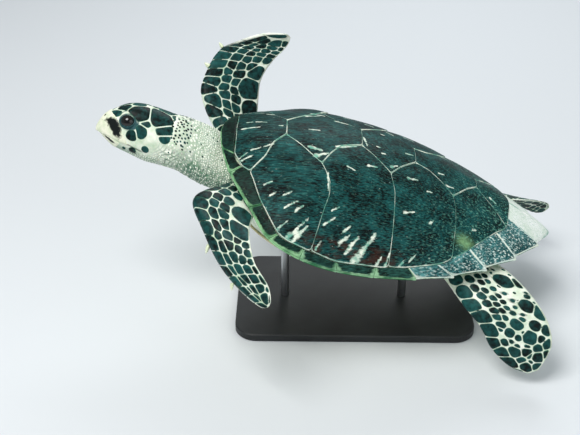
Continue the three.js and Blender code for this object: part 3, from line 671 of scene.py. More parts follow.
RIM_HORN = ScuteHorn("rim_horn_worn_satin", dark="#030b09", mid="#1d453b", pale="#93c493", dull="#467f56",
                     speckle=0.3)
SIDE_HORN = ScuteHorn("side_rim_horn_worn_satin", dark="#071713", mid="#2f6258", pale="#9cc99e",
                      dull="#3f7a58", speckle=0.4)
REAR_HORN = ScuteHorn("rear_rim_horn_weathered", dark="#0a3a3b", mid="#69adab", dull="#e0f0e6", speckle=0.95)
# the supracaudals' underside keeps a pale colour, with no painted shade
TAIL_HORN = ScuteHorn("tail_rim_horn_bleached", dark="#d3e2d2", mid="#ffffff", pale="#fdfef8", dull="#8fb8a6",
                      under="#dfe8da", speckle=0.4)

# Pale strokes on the left half of the shell in plan, from their broad end: x, y, x, y, width. The
# right half wears the same ones, shifted a little.
STROKES = ((116, 140, 128, 136, 4), (129, 160, 138, 157, 5), (151, 163, 163, 159, 4),
           (156, 184, 176, 174, 4.5), (174, 189, 186, 180, 5), (149, 214, 165, 203, 5),
           (174, 219, 198, 196, 4), (180, 224, 200, 205, 13), (170, 221, 185, 213, 11),
           (118, 182, 126, 179, 3), (236, 176, 248, 169, 4), (226, 198, 243, 186, 3),
           (262, 200, 273, 190, 6), (260, 213, 275, 201, 8), (275, 220, 290, 201, 11),
           (222, 226, 228, 217, 4), (295, 224, 318, 192, 16), (289, 227, 306, 212, 12),
           (346, 226, 351, 205, 6), (330, 225, 338, 213, 6), (366, 78, 385, 74, 7),
           (364, 147, 383, 139, 4), (413, 148, 420, 142, 5), (388, 208, 397, 198, 3.5),
           (372, 218, 378, 209, 4), (333, 66, 345, 58, 7), (362, 14, 377, 10, 4), (446, 54, 459, 52, 5),
           (180, 8, 199, 8, 5), (181, 59, 205, 66, 13), (196, 80, 217, 71, 14), (230, 51, 266, 40, 10),
           (219, 116, 224, 147, 5), (252, 93, 267, 98, 4), (290, 80, 307, 78, 5), (281, 2, 287, 27, 5),
           (305, 22, 313, 22, 4), (314, 38, 321, 37, 4), (63, 8, 93, 6, 6), (70, -16, 80, -16, 4),
           (86, -16, 104, -12, 5), (66, 87, 78, 77, 4), (84, 72, 99, 67, 4), (104, 65, 120, 57, 3.5),
           (71, 92, 88, 84, 5), (126, 2, 133, 2, 4), (500, 120, 508, 117, 3.5), (540, 24, 552, 30, 7),
           (430, 30, 440, 28, 4), (405, 90, 414, 88, 3.5))
STROKE_JITTER = 7.0  # millimetres


def strokes() -> Array:
    """Every pale stroke of both halves of the shell, as rows of x, y, x, y, width.

    Returns:
        n x 5 values in millimetres.
    """
    rng = np.random.default_rng(8)
    left = np.array(STROKES, float) * [1, -1, 1, -1, 1]
    outer = left[np.abs(left[:, 1]) > 34]
    shift = rng.uniform(-STROKE_JITTER, STROKE_JITTER, (len(outer), 2))
    right = outer * [1, -1, 1, -1, 1] + np.column_stack([shift, shift, rng.uniform(-1, 1, len(outer))])
    return np.vstack([left, right])


def cream(plan: Array) -> Array:
    """How far each plan point lies within a pale stroke, 1 in its middle and 0 outside.

    Args:
        plan: n x 2 positions.

    Returns:
        n shares.
    """
    value = np.zeros(len(plan))
    for x0, y0, x1, y1, width in strokes():
        start, span = np.array([x0, y0]), np.array([x1 - x0, y1 - y0])
        t = np.clip((plan - start) @ span / (span @ span), 0, 1)
        gap = np.linalg.norm(plan - start - t[:, None] * span, axis=1)
        reach = width / 2 * (1 - 0.7 * t) * (0.75 + 0.25 * np.sin(t * 9 + x0)) + 1.4
        value = np.maximum(value, 1 - gap / reach)
    return np.clip(value * 1.25, 0, 1)


def weathering(plan: Array) -> dict[str, Array]:
    """Reddish wear along the lower edge of the middle scutes, and one pale green cloud towards the tail.

    Args:
        plan: n x 2 positions.

    Returns:
        Values per point, by attribute name.
    """
    x, y = plan[:, 0], np.abs(plan[:, 1])
    outward = np.hypot(x - SHELL_CENTRE_X, y) / RIM.radius(polar(plan))
    belt = smoothstep(0.88, 0.91, outward) * (1 - smoothstep(0.955, 0.98, outward))
    rust = 0.75 * belt * smoothstep(185, 215, x) * (1 - smoothstep(350, 385, x))
    return {"rust": rust, "cloud": np.exp(-((x - 488) / 16) ** 2 - ((y - 148) / 10) ** 2)}


def speckle(plan: Array) -> Array:
    """How mottled the horn is at plan points: more towards the tail and the rim."""
    outward = np.hypot(plan[:, 0] - SHELL_CENTRE_X, plan[:, 1]) / RIM.radius(polar(plan))
    return 0.16 + 0.84 * smoothstep(340, 560, plan[:, 0]) * smoothstep(0.3, 0.95, outward)


@dataclass(frozen=True)
class PlastronHorn:
    """Pale keratin of the under-shell, satin, with amber clouds and darker seams."""

    name: str = "plastron_horn_satin"
    pale: str = "#e0dbb6"
    warm: str = "#c8b984"
    seam: str = "#6f6a48"

    def build(self) -> Material:
        """Make the material.

        Returns:
            The material.
        """
        s = Shading(self.name)
        seam, = s.marks("seam")
        base = s.node("ValToRGB", {0: s.noise(45, 4)}, stops=((0.35, self.pale), (0.75, self.warm)))
        colour = s.paint(base, (s.total((seam, 0.75)), self.seam))
        return s.finish(colour, 0.42, coat=0.2, bump=s.noise(2.5, 4), bump_mm=0.15)


PLASTRON_HORN = PlastronHorn()


@dataclass(frozen=True)
class TurtleSkin:
    """Fine-grained reptile skin: mint-white between the scales, dark under them, with painted shade in dark
    green on the neck's creases, underside and throat.
    """

    name: str = "turtle_skin_fine_grained"
    pale: str = "#f1f5e6"
    shade: str = "#bcd2b4"
    # painted shade: dark green in the neck's creases, between its granules, on its underside and throat
    crease_shade: str = "#2f6b4e"
    dark: str = "#0a2321"
    lid: str = "#1d4a4e"

    def build(self) -> Material:
        """Make the material.

        Returns:
            The material.
        """
        s = Shading(self.name)
        crease_shade, dark, lid = s.marks("crease_shade", "dark", "lid")
        base = s.node("ValToRGB", {0: s.noise(16, 4)}, stops=((0.35, self.pale), (0.75, self.shade)))
        patchy = s.node("MapRange", {"Value": s.noise(7, 3), "From Min": 0.3, "From Max": 0.6,
                                     "To Min": 0.65})
        # painted shade, broken up by noise
        shade_share = s.node("Math", {0: crease_shade, 1: patchy}, operation="MULTIPLY")
        colour = s.paint(base, (shade_share, self.crease_shade), (dark, self.dark), (lid, self.lid))
        relief = s.total((s.noise(1.6, 2), 1), (s.noise(5, 3), 1))
        return s.finish(colour, 0.55, specular=0.3, bump=relief, bump_mm=0.5, subsurface=0.05)


# ------------------------------------------------------------------ carapace


def rounded_loop(corners: Array, spacing: float, passes: int) -> Array:
    """A closed outline with even points and softened corners.

    Args:
        corners: n x 2 corners.
        spacing: distance between points.
        passes: how often each point moves to the mean of its neighbours.

    Returns:
        m x 2 points.
    """
    loop = np.vstack([corners, corners[:1]])
    lengths = np.r_[0, np.cumsum(np.linalg.norm(np.diff(loop, axis=0), axis=1))]
    count = max(24, int(round(lengths[-1] / spacing)))
    at = np.arange(count) / count * lengths[-1]
    points = np.stack([np.interp(at, lengths, loop[:, k]) for k in (0, 1)], -1)
    for _ in range(passes):
        points = 0.5 * points + 0.25 * (np.roll(points, 1, 0) + np.roll(points, -1, 0))
    return points


def edge_distance(points: Array, loop: Array) -> Array:
    """Distance from plan points to a closed outline.

    Args:
        points: n x 2 positions.
        loop: m x 2 outline.

    Returns:
        n distances.
    """
    a, b = loop, np.roll(loop, -1, 0)
    span = b - a
    nearest = np.full(len(points), np.inf)
    for start in range(0, len(points), 4000):
        p = points[start:start + 4000]
        t = np.einsum("ijk,jk->ij", p[:, None] - a[None], span) / np.maximum((span**2).sum(1), 1e-9)
        t = np.clip(t, 0, 1)
        gap = np.linalg.norm(p[:, None] - (a[None] + t[..., None] * span[None]), axis=-1)
        nearest[start:start + 4000] = gap.min(1)
    return nearest


@dataclass
class Plate:
    """One inner scute: a curved plate over an outline in plan, with bevelled edges and a free rear edge."""

    name: str
    corners: list[tuple[float, float]]
    growth_share: tuple[float, float]  # growth centre as shares of the plate's length and width
    spacing: float = 2.6
    overlap: float = 1.3  # how far the rear edge reaches over the next scute
    seam_gap: float = 0.25
    # Inset from the edge and height of each ring of the bevel.
    bevel: tuple[tuple[float, float], ...] = (
        (0.0, -1.5), (0.25, -0.7), (0.7, -0.2), (1.4, 0.0), (2.4, 0.0), (3.8, 0.0), (6.0, 0.0))
    rings: int = 46
    inner_share: float = 0.97  # how far towards the growth centre the last ring lies
    doming: float = 1.0  # rise of the plate's middle over its edge
    doming_reach: float = 30.0  # distance from the edge at which the plate is at its full rise

    def build(self) -> Object:
        """Make the plate.

        Returns:
            The object, not yet dressed.
        """
        loop = rounded_loop(np.array(self.corners, float), self.spacing, 3)
        tangent = np.roll(loop, -1, 0) - np.roll(loop, 1, 0)
        turning = np.sign(np.sum(loop[:, 0] * np.roll(loop[:, 1], -1) - np.roll(loop[:, 0], -1) * loop[:, 1]))
        normal = unit(np.stack([tangent[:, 1], -tangent[:, 0], np.zeros(len(loop))], -1))[:, :2] * turning
        reach = np.where(normal[:, 0] > 0, self.overlap * normal[:, 0], 0) - self.seam_gap
        loop = loop + normal * reach[:, None]
        low, high = loop.min(0), loop.max(0)
        centre = low + (high - low) * np.array(self.growth_share)
        front, rear = low[0], high[0]
        arms = centre - loop
        arm_length = np.linalg.norm(arms, axis=1, keepdims=True)
        arm = arms / arm_length
        plans, heights = [loop], [np.full(len(loop), -PLATE_DEPTH)]
        for inset, height in self.bevel:
            plans.append(loop + arm * np.minimum(inset, 0.3 * arm_length))
            heights.append(np.full(len(loop), height))
        last = plans[-1]
        for k in range(1, self.rings + 1):
            share = (k / self.rings) * self.inner_share
            plans.append(last + (centre - last) * share)
            heights.append(np.zeros(len(loop)))
        plan = np.concatenate(plans)
        height = np.concatenate(heights)
        edge = edge_distance(plan, loop)
        edge[: len(loop)] = 0
        lift = SCUTE_LIFT * np.clip((plan[:, 0] - front) / (rear - front), 0, 1) ** 1.5
        dome = self.doming * smoothstep(0, self.doming_reach, edge)
        points = dome_over(plan, lift + height + dome)
        tip = dome_over(centre[None], lift[-len(loop):].mean() + self.doming)
        rows = len(plans)
        count = len(loop)
        faces = ring_faces(rows, count)
        last_row = (rows - 1) * count
        pole = rows * count
        faces += [(last_row + i, last_row + (i + 1) % count, pole) for i in range(count)]
        faces.append(tuple(range(count - 1, -1, -1)))
        if turning < 0:
            faces = [f[::-1] for f in faces]
        points = np.vstack([points, tip])
        edge = np.r_[edge, edge.max()]
        plan = np.vstack([plan, centre])
        wear = weathering(plan)
        values = {"edge_mm": edge + 0.5 * wear["rust"], "cream": cream(plan), "speckle": speckle(plan),
                  **wear}
        return mesh_object(self.name, points, faces, values)


def mirrored(half: Corners) -> Corners:
    """Close a half outline with its mirror image across the midline."""
    return half + [(x, -y) for x, y in reversed(half) if y > 0]


def rim_between(start: tuple[float, float], end: tuple[float, float]) -> Corners:
    """Points of the marginal seam strictly between two of its corners.

    Args:
        start: one corner.
        end: the other corner.

    Returns:
        The points, from start to end.
    """
    angles = np.linspace(float(polar(start)), float(polar(end)), RIM_POINTS + 2)[1:-1]
    r = SEAM.radius(angles)
    return list(zip(SHELL_CENTRE_X + r * np.cos(angles), r * np.sin(angles)))


@dataclass
class Carapace:
    """The inner scutes of the shell: five vertebrals and four costals on each side."""

    finish: ScuteHorn = field(default_factory=ScuteHorn)
    vertebral_growth: tuple[float, float] = (0.72, 0.5)
    costal_growth: tuple[float, float] = (0.62, 0.25)

    def vertebral_corners(self) -> list[Corners]:
        """Outlines of the five vertebrals, front to rear."""
        halves = [
            [NUCHAL_MIDDLE, NUCHAL_SIDE, V1_M2, V1_C1, *BEND_V1_C1, V1_V2],
            [V1_V2, *BEND_V2_C1, V2_C1_C2, *BEND_V2_C2, V2_V3],
            [V2_V3, *BEND_V3_C2, V3_C2_C3, *BEND_V3_C3, V3_V4],
            [V3_V4, *BEND_V4_C3, V4_C3_C4, *BEND_V4_C4, V4_V5],
            [V4_V5, *BEND_V5_C4, V5_SIDE, *rim_between(V5_SIDE, V5_REAR), V5_REAR],
        ]
        return [mirrored(half) for half in halves]

    def costal_corners(self) -> list[Corners]:
        """Outlines of the four right costals, front to rear."""
        return [
            [V1_C1, *BEND_V1_C1, V1_V2, *BEND_V2_C1, V2_C1_C2, *BEND_C1_C2, C1_C2_RIM,
             *rim_between(C1_C2_RIM, V1_C1)],
            [V2_C1_C2, *BEND_V2_C2, V2_V3, *BEND_V3_C2, V3_C2_C3, *BEND_C2_C3, C2_C3_RIM,
             *rim_between(C2_C3_RIM, C1_C2_RIM), C1_C2_RIM, *reversed(BEND_C1_C2)],
            [V3_C2_C3, *BEND_V3_C3, V3_V4, *BEND_V4_C3, V4_C3_C4, *BEND_C3_C4, C3_C4_RIM,
             *rim_between(C3_C4_RIM, C2_C3_RIM), C2_C3_RIM, *reversed(BEND_C2_C3)],
            [V4_C3_C4, *BEND_V4_C4, V4_V5, *BEND_V5_C4, V5_SIDE, *rim_between(V5_SIDE, C3_C4_RIM),
             C3_C4_RIM, *reversed(BEND_C3_C4)],
        ]

    def build(self) -> None:
        """Make and place every inner scute."""
        horn = self.finish.build()
        for i, corners in enumerate(self.vertebral_corners(), 1):
            plate = Plate(f"vertebral_plate_{i}", corners, self.vertebral_growth)
            place(plate.build(), horn, [f"vertebral_{i}"])
        for side, sign in (("left", -1), ("right", 1)):
            for i, corners in enumerate(self.costal_corners(), 1):
                along, across = self.costal_growth
                growth = (along, across if sign > 0 else 1 - across)
                plate = Plate(f"costal_plate_{side}_{i}", [(x, sign * y) for x, y in corners], growth)
                place(plate.build(), horn, [f"costal_{side}_{i}"])


@dataclass
class Marginal:
    """One scute of the rim: a wedge-shaped bar that turns under, its rear corner free."""

    name: str
    inner: tuple[float, float]  # polar angles of its inner corners, front and rear
    outer: tuple[float, float]  # polar angles of its outer corners
    sign: int  # -1 on the left, 1 on the right
    tooth: float = 0.0  # projection of the rear outer corner
    lift: float = MARGINAL_LIFT
    steps: int = 30
    rim_pale: float = 0.45  # smaller for a broader pale edge along the rim
    seam_gap: float = 0.0015  # share of the rim's radius between it and the inner scutes
    nose: float = 1.9  # radius of the rim's rounded edge
    end_bevel: tuple[tuple[float, float], ...] = ((0.0, 1.6), (0.3, 0.7), (0.8, 0.2), (1.6, 0.0))
    mean_radius: float = 240.0  # of the rim, to turn its angles into lengths

    def ring(self, share: float) -> tuple[Array, Array, Array]:
        """One section across the bar.

        Args:
            share: how far along the bar it is, from 0 at the front.

        Returns:
            The section's points, how far each takes the underside's colour, a painted shade on most of the
            rim, and its distance to the rim.
        """
        a = self.inner[0] + (self.inner[1] - self.inner[0]) * share
        b = self.outer[0] + (self.outer[1] - self.outer[0]) * share
        lift = self.lift * share**1.5
        start = float(SEAM.radius(a) / RIM.radius(a)) + self.seam_gap
        f = np.concatenate([[0, 0.012, 0.03, 0.06], np.linspace(0.1, 1.0, 13)])
        angle = a + (b - a) * f
        fraction = start + (1 - start) * (1 - (1 - f) ** 1.3)
        sunk = np.interp(f, [0, 0.012, 0.03, 0.06], [1.5, 0.7, 0.2, 0])
        top = dome_at(angle, fraction) + dome_normal(angle, fraction) * (lift - sunk)[:, None]
        out = np.array([math.cos(b), math.sin(b), -0.25])
        tip = top[-1] + out * self.tooth
        width = np.linalg.norm(top[-1, :2] - top[0, :2]) + self.tooth
        stretch = smoothstep(0.35, 1.0, f)[:, None]
        top = top + out * self.tooth * stretch
        inward = -out / np.linalg.norm(out)
        turns = np.linspace(math.radians(70), math.radians(-90), 6)
        hub = tip + inward * self.nose + [0, 0, -self.nose]
        nose = hub - inward * self.nose * np.cos(turns)[:, None] + np.outer(np.sin(turns), [0, 0, self.nose])
        top[-1] = tip + inward * self.nose
        lip = self.lip_at(b)
        under = nose[-1] + (lip - nose[-1]) * np.linspace(0.2, 1, 5)[:, None]
        back = dome_at(np.array([a]), np.array([start])) - [0, 0, PLATE_DEPTH]
        points = np.vstack([top, nose, under, back])
        # share in the underside's colour, which is painted shade on most of the rim: the rounded edge and the
        # underside
        under = np.r_[np.zeros(len(f)), np.full(len(points) - len(f), 0.9)]
        to_rim = np.r_[(1 - f) * width, np.linspace(0.3, 4, 6), np.full(6, 20)]
        return points * [1, self.sign, 1], under, to_rim

    def lip_at(self, angle: float) -> Array:
        """Inner corner of the rim's underside at a polar angle.

        Args:
            angle: the polar angle.

        Returns:
            One body-frame point.
        """
        _, front, rear = (float(v) for v in sector(angle))
        lip = RIM_LIP[0] + RIM_LIP[1] * front + RIM_LIP[2] * rear * rear
        radius = max(float(RIM.radius(angle)) - lip, float(SEAM.radius(angle)) + 6 * rear)
        over = dome_at(np.array([angle]), np.array([radius / float(RIM.radius(angle))]))[0]
        low = float(rim_height(angle)) - 5
        over[2] = low + (over[2] - PLATE_DEPTH - 4.5 - low) * rear * rear
        return over

    def build(self) -> Object:
        """Make the scute.

        Returns:
            The object, not yet dressed.
        """
        length = abs(self.outer[1] - self.outer[0]) * self.mean_radius
        insets, depths = zip(*self.end_bevel)
        starts = [inset / length for inset in insets]
        inside = list(np.linspace(starts[-1], 1 - starts[-1], self.steps))[1:-1]
        rings, below, rim, ends = [], [], [], []
        tooth = self.tooth
        for share in starts + inside + [1 - start for start in reversed(starts)]:
            self.tooth = tooth * share**3
            points, under, to_rim = self.ring(share)
            to_end = min(share, 1 - share) * length
            rings.append(points + unit(points.mean(0) - points) * np.interp(to_end, insets, depths))
            below.append(under)
            rim.append(to_rim)
            ends.append(np.full(len(points), to_end))
        points, faces = closed_loft(rings)
        if self.sign < 0:
            faces = [face[::-1] for face in faces]
        to_rim, to_end = np.concatenate(rim), np.concatenate(ends)
        edge = np.minimum(np.minimum(to_rim * self.rim_pale, to_end * 0.85), (to_rim + to_end) * 0.13)
        plan = points[:, :2]
        values = {"edge_mm": np.r_[edge, 0, 0], "under": np.r_[np.concatenate(below), 0, 0],
                  "speckle": speckle(plan), "rust": weathering(plan)["rust"]}
        return mesh_object(self.name, points, faces, values)


@dataclass
class Rim:
    """The marginal scutes of both sides, the nuchal scute and the two supracaudals."""

    finishes: tuple[ScuteHorn, ...] = (RIM_HORN, SIDE_HORN, REAR_HORN, TAIL_HORN)
    first_of_finish: tuple[int, ...] = (0, 4, 7, 11)  # counted from the front, the supracaudal last
    rim_pale: tuple[float, ...] = (0.36, 0.9, 0.75, 0.6)
    trim: float = 0.0012  # radians between neighbours

    def build(self) -> None:
        """Make and place every scute of the rim."""
        horns = [finish.build() for finish in self.finishes]
        inner = [float(polar(p)) for p in MARGINAL_INNER]
        outer = [float(polar(p)) for p in MARGINAL_OUTER]
        for side, sign in (("left", -1), ("right", 1)):
            for i in range(12):
                growing = min(max((i - FIRST_TOOTHED + 1) / 3, 0), 1)
                tail_end = i == 11
                name = f"supracaudal_plate_{side}" if tail_end else f"marginal_plate_{side}_{i + 1}"
                node = f"supracaudal_{side}" if tail_end else f"marginal_{side}_{i + 1}"
                ends_inner = (inner[i] - self.trim, inner[i + 1] + self.trim)
                ends_outer = (outer[i] - self.trim, outer[i + 1] + self.trim)
                kind = sum(i >= first for first in self.first_of_finish) - 1
                scute = Marginal(name, ends_inner, ends_outer, sign, RIM_TEETH * growing,
                                 rim_pale=self.rim_pale[kind])
                horn = horns[kind]
                place(scute.build(), horn, [node])
        front = Marginal("nuchal_plate", (2 * math.pi - inner[0] - self.trim, inner[0] + self.trim),
                         (2 * math.pi - outer[0] - self.trim, outer[0] + self.trim), 1, 0.0, NUCHAL_LIFT)
        place(front.build(), horns[0], ["nuchal"])


@dataclass
class PlastronShield:
    """The pale under-shell: one curved plate with grooves between its scutes."""

    thickness: float = 5.0
    centre_z: float = -72.0
    edge_z: tuple[float, float, float] = (-46.0, -30.0, -22.0)  # side, front, rear
    groove_depth: float = 0.9
    groove_width: float = 1.3
    seams_x: tuple[float, ...] = (128.0, 196.0, 290.0, 372.0, 452.0, 515.0)  # where seams cross the midline
    seam_sweep: float = 0.16  # how far each seam bends forward towards the side
    side_seam_share: float = 0.74
    turns: int = 260
    rows: int = 110

    def height(self, angle: Array, fraction: Array) -> Array:
        """Height of the lower face."""
        edge = blend(angle, self.edge_z)
        return self.centre_z + (edge - self.centre_z) * fraction**3

    def groove(self, plan: Array, fraction: Array) -> Array:
        """Depth of the seams at plan points.

        Args:
            plan: n x 2 positions.
            fraction: share of the outline's radius.

        Returns:
            n shares, 1 in the middle of a seam.
        """
        x, y = plan[:, 0], plan[:, 1]
        nearest = np.abs(y) + 40 * smoothstep(0.97, 1.0, fraction)
        for seam in self.seams_x:
            line = seam - self.seam_sweep * np.abs(y) + 5 * np.sin(np.abs(y) / 28)
            nearest = np.minimum(nearest, np.abs(x - line))
        bridge = np.abs(fraction - self.side_seam_share) * 150 + 60 * (np.abs(x - 280) > 130)
        nearest = np.minimum(nearest, bridge)
        return np.exp(-(nearest / self.groove_width) ** 2)

    def build(self) -> None:
        """Make and place the plastron."""
        angle = np.arange(self.turns) / self.turns * 2 * math.pi
        shares = np.r_[np.linspace(0.02, 0.97, self.rows), 0.985, 0.995, 1.0]
        round_off = np.r_[np.zeros(self.rows), 0.35, 1.0, 2.2]
        a, f = np.meshgrid(angle, shares)
        a, f = a.ravel(), f.ravel()
        r = PLASTRON_EDGE.radius(a) * f
        plan = np.stack([SHELL_CENTRE_X + r * np.cos(a), r * np.sin(a)], -1)
        cut = self.groove(plan, f)
        z = self.height(a, f) + np.repeat(round_off, self.turns) + cut * self.groove_depth
        lower = np.column_stack([plan, z])
        upper_shares = np.array([0.999, 0.7, 0.35])
        ua, uf = (v.ravel() for v in np.meshgrid(angle, upper_shares))
        ur = PLASTRON_EDGE.radius(ua) * uf
        upper = np.column_stack([SHELL_CENTRE_X + ur * np.cos(ua), ur * np.sin(ua),
                                 self.height(ua, uf) + self.thickness])
        points, faces = closed_loft(np.vstack([lower, upper]).reshape(-1, self.turns, 3))
        points[-2:] = (SHELL_CENTRE_X, 0, self.centre_z)
        points[-1, 2] += self.thickness
        faces = [face[::-1] for face in faces]
        seam = np.r_[cut, np.zeros(len(upper) + 2)]
        obj = mesh_object("plastron_shield", points, faces, {"seam": seam})
        place(obj, PLASTRON_HORN.build(), ["plastron"])


# ------------------------------------------------------------------ head and neck

HEAD_AXIS_Z = 45.0
HEAD_ROLL = math.radians(-12)
# Sections of the head about its own axis: x, centre z, half height, half width, squareness.
HEAD_SECTIONS = [(-194.5, -14, 4, 2.2, 2), (-192, -9.5, 8.8, 5, 2), (-187, -4.5, 15.5, 9.5, 2.1),
                 (-180, -2.5, 23, 15, 2.1), (-171, -1.5, 30, 21.5, 2.2), (-160, 0, 37, 28, 2.3),
                 (-144, 2, 43, 35.5, 2.4), (-128, 2.5, 46.5, 39.5, 2.4), (-112, 1.5, 48.5, 41.5, 2.4),
                 (-94, -1, 50, 42.5, 2.3), (-76, -2.5, 50, 43.5, 2.2), (-60, -3.5, 50, 45.5, 2.1)]
# Sections of the neck in the body frame: the same, and its share of the head's roll.
NECK_SECTIONS = [(-38, 40, 51, 49, 2, 0.8), (-14, 34.5, 53, 55, 2, 0.45), (8, 29, 53, 60, 2, 0),
                 (32, 23, 50, 63, 2, 0), (62, 20, 49, 64, 2, 0), (100, 15, 46, 62, 2, 0)]
# The mouth line in side view, from under the beak to the corner of the jaw: x, z.
MOUTH_LINE = [(-230, -17), (-184, -17), (-168, -17), (-148, -20), (-128, -21), (-108, -26), (-88, -29)]
EYE = np.array([-139.0, 21.8, 18.3])
EYE_RADIUS = 16.0
COAT_DEPTH = 0.8  # how far the skin lies inside the scales' outer face


def head_to_body(points: Array) -> Array:
    """Turn head-frame points into the body frame: a roll about the head's axis, then a lift."""
    c, s = math.cos(HEAD_ROLL), math.sin(HEAD_ROLL)
    x, y, z = points[..., 0], points[..., 1], points[..., 2]
    return np.stack([x, y * c - z * s, y * s + z * c + HEAD_AXIS_Z], -1)


class HeadForm:
    """The surface of the head and neck: rounded sections swept along x, with its bumps and hollows."""

    # Bumps and hollows: x, side angle from the crown in degrees, reach in x, reach in degrees, height.
    FORMS = ((-141, 38, 13, 13, 1.9), (-158, 30, 9, 18, -1.0), (-112, 62, 13, 16, -1.3),
             (-88, 84, 20, 22, 1.8), (-108, 180, 26, 40, 1.6), (-124, 118, 14, 12, 1.0),
             (-150, 150, 14, 18, 0.8), (-60, 40, 6, 60, -1.2), (-72, 128, 14, 20, -1.2))
    # Folds of the neck: spacing, lean, depth, phase.
    FOLDS = ((15, 0.16, 1.5, 0.4), (9.5, -0.22, 0.8, 1.3), (6.3, 0.3, 0.5, 2.2))

    def __init__(self) -> None:
        """Work out the section values along x."""
        c, s = math.cos(HEAD_ROLL), math.sin(HEAD_ROLL)
        rows = [(x, -z * s, z * c + HEAD_AXIS_Z, h, w, q, 1.0) for x, z, h, w, q in HEAD_SECTIONS]
        rows += [(x, 0.0, z, h, w, q, roll) for x, z, h, w, q, roll in NECK_SECTIONS]
        fine = catmull(np.array(rows, float), 16, centripetal=True)
        self.start, self.end = rows[0][0], rows[-1][0]
        self.table = fine[np.argsort(fine[:, 0])]

    def values(self, x: Array) -> list[Array]:
        """Section values at x: centre y and z, half height, half width, squareness, roll share."""
        return [np.interp(x, self.table[:, 0], self.table[:, k]) for k in range(1, 7)]

    def plain(self, x: Array, side: Array) -> Array:
        """Body-frame points of the plain sections.

        Args:
            x: stations.
            side: angles from the crown in radians, positive towards the right.

        Returns:
            n x 3 points.
        """
        cy, cz, h, w, q, roll = self.values(x)
        sin, cos = np.sin(side), np.cos(side)
        y = w * np.sign(sin) * np.abs(sin) ** (2 / q)
        z = h * np.sign(cos) * np.abs(cos) ** (2 / q)
        c, s = np.cos(HEAD_ROLL * roll), np.sin(HEAD_ROLL * roll)
        return np.stack([x, cy + y * c - z * s, cz + y * s + z * c], -1)

    def normal(self, x: Array, side: Array) -> Array:
        """Outward normals of the plain sections.

        Args:
            x: stations.
            side: angles from the crown in radians.

        Returns:
            n x 3 directions.
        """
        x = np.clip(x, self.start + 0.3, self.end - 0.3)
        along = self.plain(x + 0.2, side) - self.plain(x - 0.2, side)
        around = self.plain(x, side + 0.01) - self.plain(x, side - 0.01)
        return unit(np.cross(along, around))

    def crease_shade(self, x: Array, side: Array) -> Array:
        """Wavy wrinkles under the neck, used both for grooves and for painted shade, 1 at the bottom of a
        wrinkle and 0 between.

        Args:
            x: stations.
            side: angles from the crown in radians.

        Returns:
            Values from 0 to 1.
        """
        turn = np.abs(np.degrees(np.arctan2(np.sin(side), np.cos(side))))
        wander = 4 * np.sin(turn / 8) + 3 * np.sin(x / 6 + turn / 15)
        first = np.cos(2 * math.pi * (x + 0.42 * turn + wander) / 9.5)
        second = np.cos(2 * math.pi * (0.75 * turn - 0.5 * x + 5 * np.sin(x / 9)) / 12.5)
        wave = np.clip(np.maximum(first, 0.85 * second), 0, 1) ** 2
        zone = smoothstep(62, 100, turn) * smoothstep(-92, -58, x)
        return wave * np.clip(zone + 0.25 * smoothstep(-40, 0, x), 0, 1)

    def jaw(self, points: Array) -> tuple[Array, Array]:
        """The mouth's line behind the beak, for its groove and its painted shade.

        Args:
            points: body-frame points.

        Returns:
            1 along the line and 0 away from it, and how far each point lies below it.
        """
        x, y, z = points[..., 0], points[..., 1], points[..., 2] - HEAD_AXIS_Z
        line = np.array(MOUTH_LINE, float)
        height = z * math.cos(HEAD_ROLL) - y * math.sin(HEAD_ROLL)
        below = np.interp(x, line[:, 0], line[:, 1]) - height
        ends = smoothstep(-137, -131, x) * (1 - smoothstep(-108, -97, x))
        return np.exp(-(below / 1.3) ** 2) * ends, below

    def relief(self, x: Array, side: Array) -> Array:
        """Height of the bumps, the mouth's groove, the orbit and the neck's folds.

        Args:
            x: stations.
            side: angles from the crown in radians.

        Returns:
            Millimetres above the plain sections, below zero in a hollow.
        """
        turn = np.abs(np.degrees(np.arctan2(np.sin(side), np.cos(side))))
        height = np.zeros(np.broadcast(x, side).shape)
        for cx, angle, reach_x, reach_angle, rise in self.FORMS:
            height = height + rise * np.exp(-((x - cx) / reach_x) ** 2 - ((turn - angle) / reach_angle) ** 2)
        folds = np.zeros_like(height)
        for spacing, lean, depth, phase in self.FOLDS:
            wave = np.cos(2 * math.pi * (x + lean * turn + 4 * np.sin(turn / 21 + phase)) / spacing + phase)
            folds = folds - depth * np.clip(wave, 0, 1) ** 3
        low = smoothstep(35, 110, turn) * 0.8 + 0.2
        height = height + folds * smoothstep(-52, -5, x) * low - 1.1 * self.crease_shade(x, side)
        return height - 1.3 * self.jaw(self.plain(x, side))[0]

    def surface(self, x: Array, side: Array, grow: Array | float = 0.0) -> Array:
        """Body-frame points of the full surface, moved outward by grow."""
        lift = np.broadcast_to(self.relief(x, side) + grow, np.broadcast(x, side).shape)
        return self.plain(x, side) + self.normal(x, side) * lift[..., None]


HEAD = HeadForm()


# ------------------------------------------------------------------ flippers

# Half thickness across the chord: share of the chord, share of the thickness.
CHORD = ((0, 0), (0.05, 0.62), (0.28, 1), (0.6, 0.72), (0.9, 0.3), (1, 0.14))
FORM_SAMPLES = 24  # samples between two stations
EDGE_REACH = 0.03  # share of the chord over which a grown surface turns from outward to upward
NEAR_END = 0.004  # closest to an end or an edge that a normal is taken


class Face(Enum):
    """Which face of a flipper a place is on."""

    UPPER = 1
    LOWER = -1


